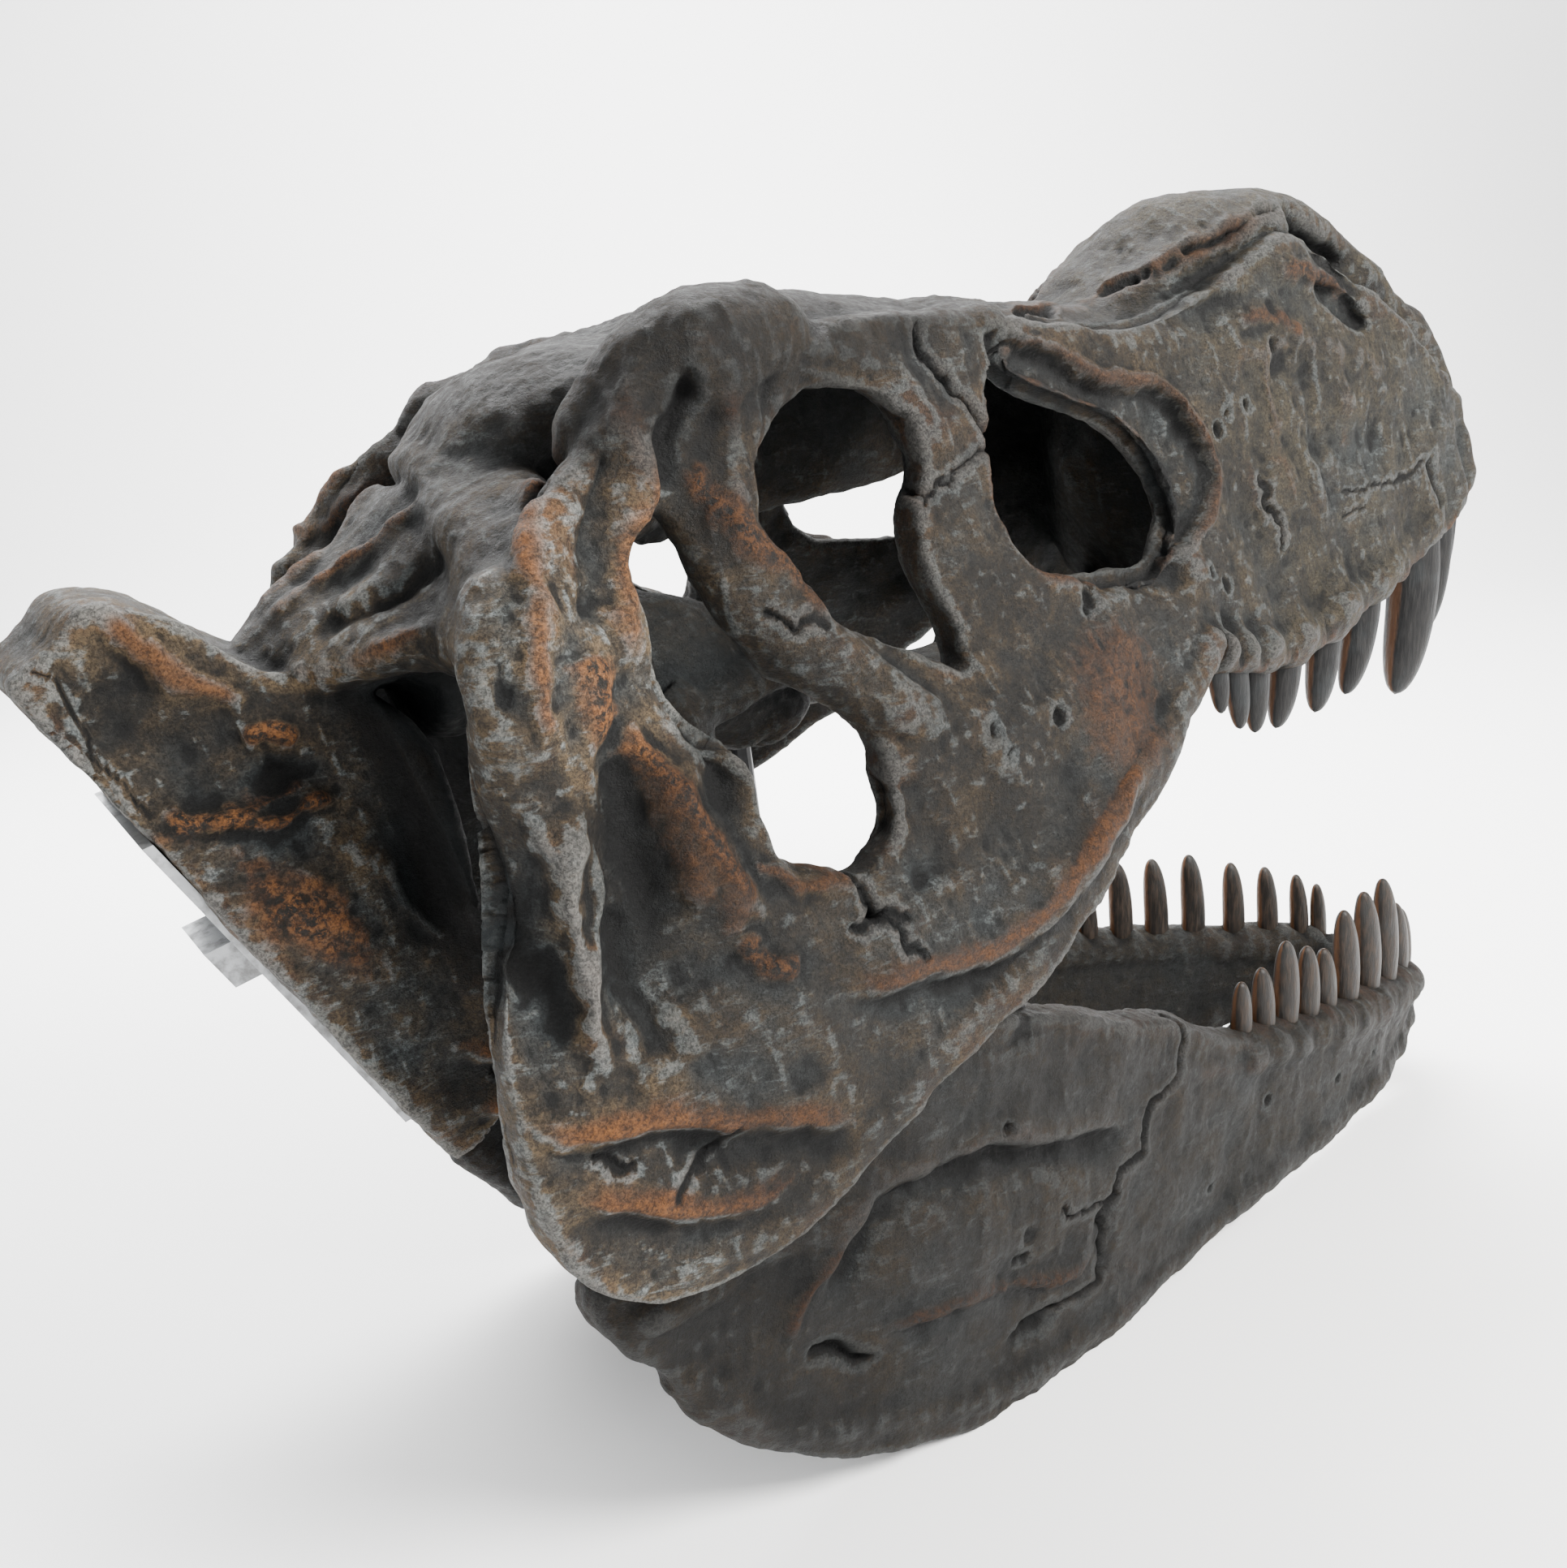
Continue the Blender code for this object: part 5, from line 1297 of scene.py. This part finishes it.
# %% Node helpers
class Paint:
    """A material under construction."""

    def __init__(self, name):
        self.material = bpy.data.materials.new(name)
        self.material.use_nodes = True
        self.tree = self.material.node_tree
        self.shader = self.tree.nodes["Principled BSDF"]
        self.place = self.add("ShaderNodeTexCoord").outputs["Object"]

    def add(self, kind, **settings):
        node = self.tree.nodes.new(kind)
        for key, value in settings.items():
            setattr(node, key, value)
        return node

    def feed(self, socket, value):
        if isinstance(value, bpy.types.NodeSocket):
            self.tree.links.new(value, socket)
        elif isinstance(value, tuple):
            socket.default_value = (*value, 1.0)[: len(socket.default_value)]
        else:
            socket.default_value = value

    def field(self, name):
        return self.add("ShaderNodeAttribute", attribute_name=name).outputs["Fac"]

    def noise(self, scale, detail=4.0, rough=0.55, bend=0.0, place=None):
        node = self.add("ShaderNodeTexNoise")
        self.feed(node.inputs["Vector"], place or self.place)
        for key, value in (("Scale", scale), ("Detail", detail), ("Roughness", rough), ("Distortion", bend)):
            node.inputs[key].default_value = value
        return node.outputs["Fac"]

    def cells(self, scale, feature="F1"):
        node = self.add("ShaderNodeTexVoronoi", feature=feature)
        self.feed(node.inputs["Vector"], self.place)
        node.inputs["Scale"].default_value = scale
        return node.outputs["Distance"]

    def stretched(self, x, y, z):
        node = self.add("ShaderNodeMapping")
        self.feed(node.inputs["Vector"], self.place)
        node.inputs["Scale"].default_value = (x, y, z)
        return node.outputs["Vector"]

    def ramp(self, value, low, high, start=0.0, end=1.0):
        node = self.add("ShaderNodeMapRange", interpolation_type="SMOOTHSTEP")
        for key, number in zip(("Value", "From Min", "From Max", "To Min", "To Max"), (value, low, high, start, end)):
            self.feed(node.inputs[key], number)
        return node.outputs["Result"]

    def sum(self, operation, a, b):
        node = self.add("ShaderNodeMath", operation=operation)
        self.feed(node.inputs[0], a)
        self.feed(node.inputs[1], b)
        return node.outputs["Value"]

    def times(self, a, b):
        return self.sum("MULTIPLY", a, b)

    def plus(self, a, b):
        return self.sum("ADD", a, b)

    def mix(self, factor, a, b, mode="MIX"):
        node = self.add("ShaderNodeMix", data_type="RGBA", blend_type=mode)
        self.feed(node.inputs[0], factor)
        self.feed(node.inputs[6], a)
        self.feed(node.inputs[7], b)
        return node.outputs[2]

    def bump(self, height, distance, strength=1.0, under=None):
        node = self.add("ShaderNodeBump")
        self.feed(node.inputs["Height"], height)
        node.inputs["Distance"].default_value = distance
        node.inputs["Strength"].default_value = strength
        if under:
            self.feed(node.inputs["Normal"], under)
        return node.outputs["Normal"]

# %% [markdown]
# ### Old bone, dry-brushed
# The base is a dark umber that wanders to tan. Blue-grey dust lies on gentle hollows, copper on
# worn crests, and an almost-black wash in cracks. Broad hollows, fine pits and sheltered places
# are darkened towards black as painted shade. Fine grain catches a little light paint on its
# peaks, as a dry brush would leave it. The roof is kept darker, and the neck stub and the hanging
# lobe paler.

# %% The bone finish
UMBER = (0.0082, 0.007, 0.0054)
BROWN = (0.0205, 0.015, 0.0096)
TAN = (0.074, 0.051, 0.027)
SLATE = (0.0220, 0.0285, 0.0310)
FROST = (0.098, 0.110, 0.110)
COPPER = (0.088, 0.034, 0.0095)
RUST = (0.052, 0.0205, 0.0074)
SAND = (0.052, 0.044, 0.028)
# near-black: the dark wash in cracks, and painted shade in hollows, pits and sheltered places
BLACK_WASH_AND_SHADE = (0.0016, 0.0016, 0.0016)


def bone_finish(name, leather, deep, shade):
    p = Paint(name)
    form, edge, air = p.field("form"), p.field("edge"), p.field("air")
    copper, wash_and_shade, torn, snout = p.field("copper"), p.field("wash_and_shade"), p.field("torn"), p.field("snout")
    cloud = p.noise(7.0, 5.0, 0.6)
    patch = p.noise(18.0, 7.0, 0.68, 0.8)
    fleck = p.noise(150.0, 6.0, 0.74, 0.3)
    grain = p.noise(430.0, 5.0, 0.65, 0.8)
    streak = p.noise(46.0, 8.0, 0.74, 0.7, p.stretched(1.0, 1.0, 3.2))

    colour = p.mix(p.ramp(p.plus(p.times(cloud, 0.6), p.times(fleck, 0.4)), 0.38, 0.62), UMBER, BROWN)
    warm = p.ramp(p.plus(p.times(form, 0.22), patch), 0.44, 0.78)
    colour = p.mix(p.times(warm, 0.70), colour, TAN)
    sandy = p.ramp(p.plus(p.times(patch, 0.7), p.times(fleck, 0.3)), 0.36, 0.62)
    colour = p.mix(p.times(p.times(snout, sandy), 0.80), colour, SAND)
    cool = p.ramp(p.plus(p.times(form, -0.30), cloud), 0.44, 0.74)
    colour = p.mix(p.times(cool, 0.75), colour, SLATE)
    frost = p.times(p.ramp(streak, 0.50, 0.68), p.ramp(p.plus(cloud, p.times(form, 0.10)), 0.46, 0.64))
    colour = p.mix(p.times(frost, 0.58), colour, FROST)
    peaks = p.times(p.ramp(fleck, 0.50, 0.68), p.ramp(edge, -0.10, 0.50))
    colour = p.mix(p.times(peaks, 0.45), colour, TAN)
    rust = p.ramp(p.plus(p.times(form, 0.30), p.noise(12.0, 6.0, 0.7, 0.4)), 0.58, 0.92)
    colour = p.mix(p.times(rust, 0.62), colour, RUST)
    rubbed = p.plus(p.plus(p.times(edge, 0.30), copper), p.plus(p.times(patch, 0.75), p.times(fleck, 0.45)))
    colour = p.mix(p.times(p.ramp(rubbed, 0.80, 1.30), 0.60), colour, RUST)
    colour = p.mix(p.times(p.ramp(rubbed, 1.15, 1.75), 0.70), colour, COPPER)
    brushed = p.ramp(p.plus(p.times(edge, 0.5), p.times(streak, 1.2)), 0.70, 1.00)
    dry = p.times(brushed, p.ramp(copper, 0.5, 0.1))
    colour = p.mix(p.times(dry, 0.55), colour, FROST)
    # painted shade: broad hollows are darkened towards black
    sunk = p.ramp(p.plus(p.times(form, -0.8), p.times(patch, 0.5)), 0.22, 0.95)
    colour = p.mix(p.times(sunk, 0.82), colour, BLACK_WASH_AND_SHADE)
    # painted shade: fine pits and crevices are darkened towards black
    pits = p.ramp(p.plus(p.times(edge, -1.0), p.times(fleck, 0.55)), 0.55, 1.05)
    colour = p.mix(p.times(pits, 0.80), colour, BLACK_WASH_AND_SHADE)
    colour = p.mix(p.times(p.ramp(torn, 0.3, 1.0), p.ramp(fleck, 0.55, 0.42)), colour, UMBER)
    # dark marks: a wash in cracks, and painted shade in hollows, pits and grooves
    colour = p.mix(p.times(p.ramp(wash_and_shade, 0.15, 0.80), 0.92), colour, BLACK_WASH_AND_SHADE)
    fine = p.plus(p.times(grain, 0.65), p.times(fleck, 0.35))
    colour = p.mix(1.0, colour, p.ramp(fine, 0.38, 0.62, 0.36, 1.50), "MULTIPLY")
    # painted shade: sheltered places are tinted slate blue-grey
    colour = p.mix(p.times(p.ramp(air, 0.45, 0.20), 0.55), colour, SLATE)
    # painted shade: the colour is multiplied down where little open air is above it; shade sets its brightest value
    colour = p.mix(1.0, colour, p.ramp(air, 0.10, 0.80, 0.45 * shade, shade), "MULTIPLY")
    colour = p.mix(1.0, colour, p.ramp(p.field("roof"), 0.0, 1.0, 1.0, 0.36), "MULTIPLY")
    colour = p.mix(1.0, colour, p.ramp(p.field("pale"), 0.0, 1.0, 1.0, 3.2), "MULTIPLY")
    # painted shade: the most sheltered places turn almost black
    colour = p.mix(p.ramp(air, deep, 0.04), colour, BLACK_WASH_AND_SHADE)
    glint = p.times(p.ramp(p.cells(700.0), 0.10, 0.04), p.ramp(p.noise(45.0), 0.56, 0.70))
    colour = p.mix(p.times(glint, 0.35), colour, (0.30, 0.24, 0.14))
    p.feed(p.shader.inputs["Base Color"], colour)

    mottle = p.plus(p.times(fleck, 0.5), p.times(patch, 0.5))
    p.feed(p.shader.inputs["Roughness"], p.ramp(mottle, 0.35, 0.65, 0.52, 0.82))
    p.shader.inputs["Specular IOR Level"].default_value = 0.22
    wrinkle = p.plus(p.times(p.cells(95.0, "SMOOTH_F1"), 0.6 * leather), p.times(streak, 0.7))
    rough_height = p.plus(p.times(fleck, 0.8), p.times(grain, 0.5))
    normal = p.bump(wrinkle, 0.0080, 0.80)
    normal = p.bump(rough_height, 0.0044, 1.0, normal)
    p.feed(p.shader.inputs["Normal"], normal)
    return p.material


# shade sets the brightest value of the painted-shade multiply; the jaw's lower 0.29 darkens the whole jaw as painted
# shade
skull.data.materials.append(bone_finish("old bone", 0.4, 0.12, 0.72))
mandible.data.materials.append(bone_finish("old jaw bone", 1.0, 0.20, 0.29))
print("bone finish nodes:", len(skull.data.materials[0].node_tree.nodes))

# %% [markdown]
# ### Enamel, black steel and bare steel
# The teeth are almost black and smoother than the bone, with copper rubbed along their edges.
# The rods are painted black, and the strip and the clip behind the stub are plain grey steel.

# %% Teeth and metal
def tooth_finish(name, dark, pale, edge_share):
    p = Paint(name)
    keel = p.field("keel")
    streak = p.noise(90.0, 5.0, 0.6, 0.2, p.stretched(3.0, 3.0, 0.5))
    cloud = p.noise(30.0, 4.0)
    colour = p.mix(p.ramp(streak, 0.40, 0.66), dark, pale)
    colour = p.mix(p.times(p.ramp(cloud, 0.50, 0.70), 0.20), colour, SLATE)
    rubbed = p.ramp(p.plus(keel, p.times(streak, 0.5)), 0.85, 1.25)
    colour = p.mix(p.times(rubbed, edge_share), colour, (0.12, 0.052, 0.021))
    p.feed(p.shader.inputs["Base Color"], colour)
    p.feed(p.shader.inputs["Roughness"], p.ramp(streak, 0.3, 0.7, 0.42, 0.62))
    p.shader.inputs["Specular IOR Level"].default_value = 0.22
    p.feed(p.shader.inputs["Normal"], p.bump(streak, 0.0014, 0.7))
    return p.material


def steel_finish(name, colour, worn, metallic, roughness):
    p = Paint(name)
    grime = p.noise(70.0, 5.0, 0.6)
    p.feed(p.shader.inputs["Base Color"], p.mix(p.ramp(grime, 0.45, 0.70), colour, worn))
    p.shader.inputs["Metallic"].default_value = metallic
    p.feed(p.shader.inputs["Roughness"], p.ramp(grime, 0.3, 0.7, roughness - 0.08, roughness + 0.12))
    p.feed(p.shader.inputs["Normal"], p.bump(p.noise(400.0, 3.0), 0.0004, 0.5))
    return p.material


upper_enamel = tooth_finish("dark enamel", (0.0028, 0.0028, 0.0030), (0.0105, 0.0100, 0.0095), 0.60)
lower_enamel = tooth_finish("brown enamel", (0.0070, 0.0055, 0.0045), (0.024, 0.0165, 0.0115), 0.75)
black_steel = steel_finish("black steel", (0.012, 0.012, 0.013), (0.030, 0.030, 0.032), 0.2, 0.48)
bare_steel = steel_finish("bare steel", (0.34, 0.35, 0.36), (0.20, 0.20, 0.20), 0.85, 0.42)
upper_teeth.data.materials.append(upper_enamel)
lower_teeth.data.materials.append(lower_enamel)
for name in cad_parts:
    if name.startswith("stand_"):
        coat = black_steel if "rod" in name else bare_steel
        for slot in bpy.data.objects[name].material_slots:
            slot.material = coat
print("metal on", [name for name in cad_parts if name.startswith("stand_")])

# %% [markdown]
# ### Floor and light
# The skull stands on a plain pale sweep that curves up behind it, so no edge shows. A very
# large soft light above and to the right does most of the work, and weaker ones open the
# shadows, as in a museum's studio.

# %% Sweep, lamps and world
SWEEP_START = 3.0
SWEEP_BEND = 2.0
SWEEP_STEPS = 16


def sweep():
    """A pale floor that rises in a smooth curve behind the skull."""
    profile = [(-6.0, 0.0), (SWEEP_START, 0.0)]
    for step in range(1, SWEEP_STEPS + 1):
        angle = step / SWEEP_STEPS * math.pi / 2
        forward, up = SWEEP_BEND * math.sin(angle), SWEEP_BEND * math.cos(angle)
        profile.append((SWEEP_START + forward, SWEEP_BEND - up))
    profile.append((SWEEP_START + SWEEP_BEND, 7.0))
    away = (turned @ Vector((0.4245, 0.808, 0))).xy.normalized()
    side = Vector((away.y, -away.x))
    verts, faces = [], []
    for i, (reach, height) in enumerate(profile):
        for width in (-9.0, 9.0):
            spot = away * reach + side * width
            verts.append((spot.x, spot.y, height))
        if i:
            faces.append((2 * i - 2, 2 * i - 1, 2 * i + 1, 2 * i))
    mesh = to_mesh("sweep", verts, faces)
    mesh.shade_smooth()
    thing = add_object("sweep", mesh)
    return thing


def lamp(name, place, aim, size, watts, colour=(1.0, 1.0, 1.0)):
    light = bpy.data.lights.new(name, "AREA")
    light.shape = "DISK"
    light.size = size
    light.energy = watts
    light.color = colour
    thing = add_object(name, light)
    way = Vector(aim) - Vector(place)
    thing.matrix_world = Matrix.Translation(place) @ way.to_track_quat("-Z", "Y").to_matrix().to_4x4()
    return thing


floor = sweep()
lamp("key", (1.2, -2.2, 2.4), (0, 0, 0.5), 1.4, 380.0, (1.0, 0.985, 0.96))
lamp("fill", (-2.6, -1.6, 1.6), (0, 0, 0.5), 2.2, 30.0, (0.95, 0.975, 1.0))
lamp("back", (-0.6, 2.6, 2.6), (0, 0, 0.6), 2.0, 120.0)
lamp("backdrop", (0.9, 1.6, 2.9), (1.6, 3.0, 0.0), 2.4, 520.0)
world = bpy.data.worlds.new("studio")
world.use_nodes = True
sky = world.node_tree.nodes["Background"].inputs
sky["Color"].default_value = (1.0, 1.0, 1.0, 1.0)
sky["Strength"].default_value = 0.9
bpy.context.scene.world = world
paper = bpy.data.materials.new("pale paper")
paper.use_nodes = True
sheet = paper.node_tree.nodes["Principled BSDF"].inputs
sheet["Base Color"].default_value = (0.97, 0.97, 0.97, 1.0)
sheet["Roughness"].default_value = 0.9
floor.data.materials.append(paper)
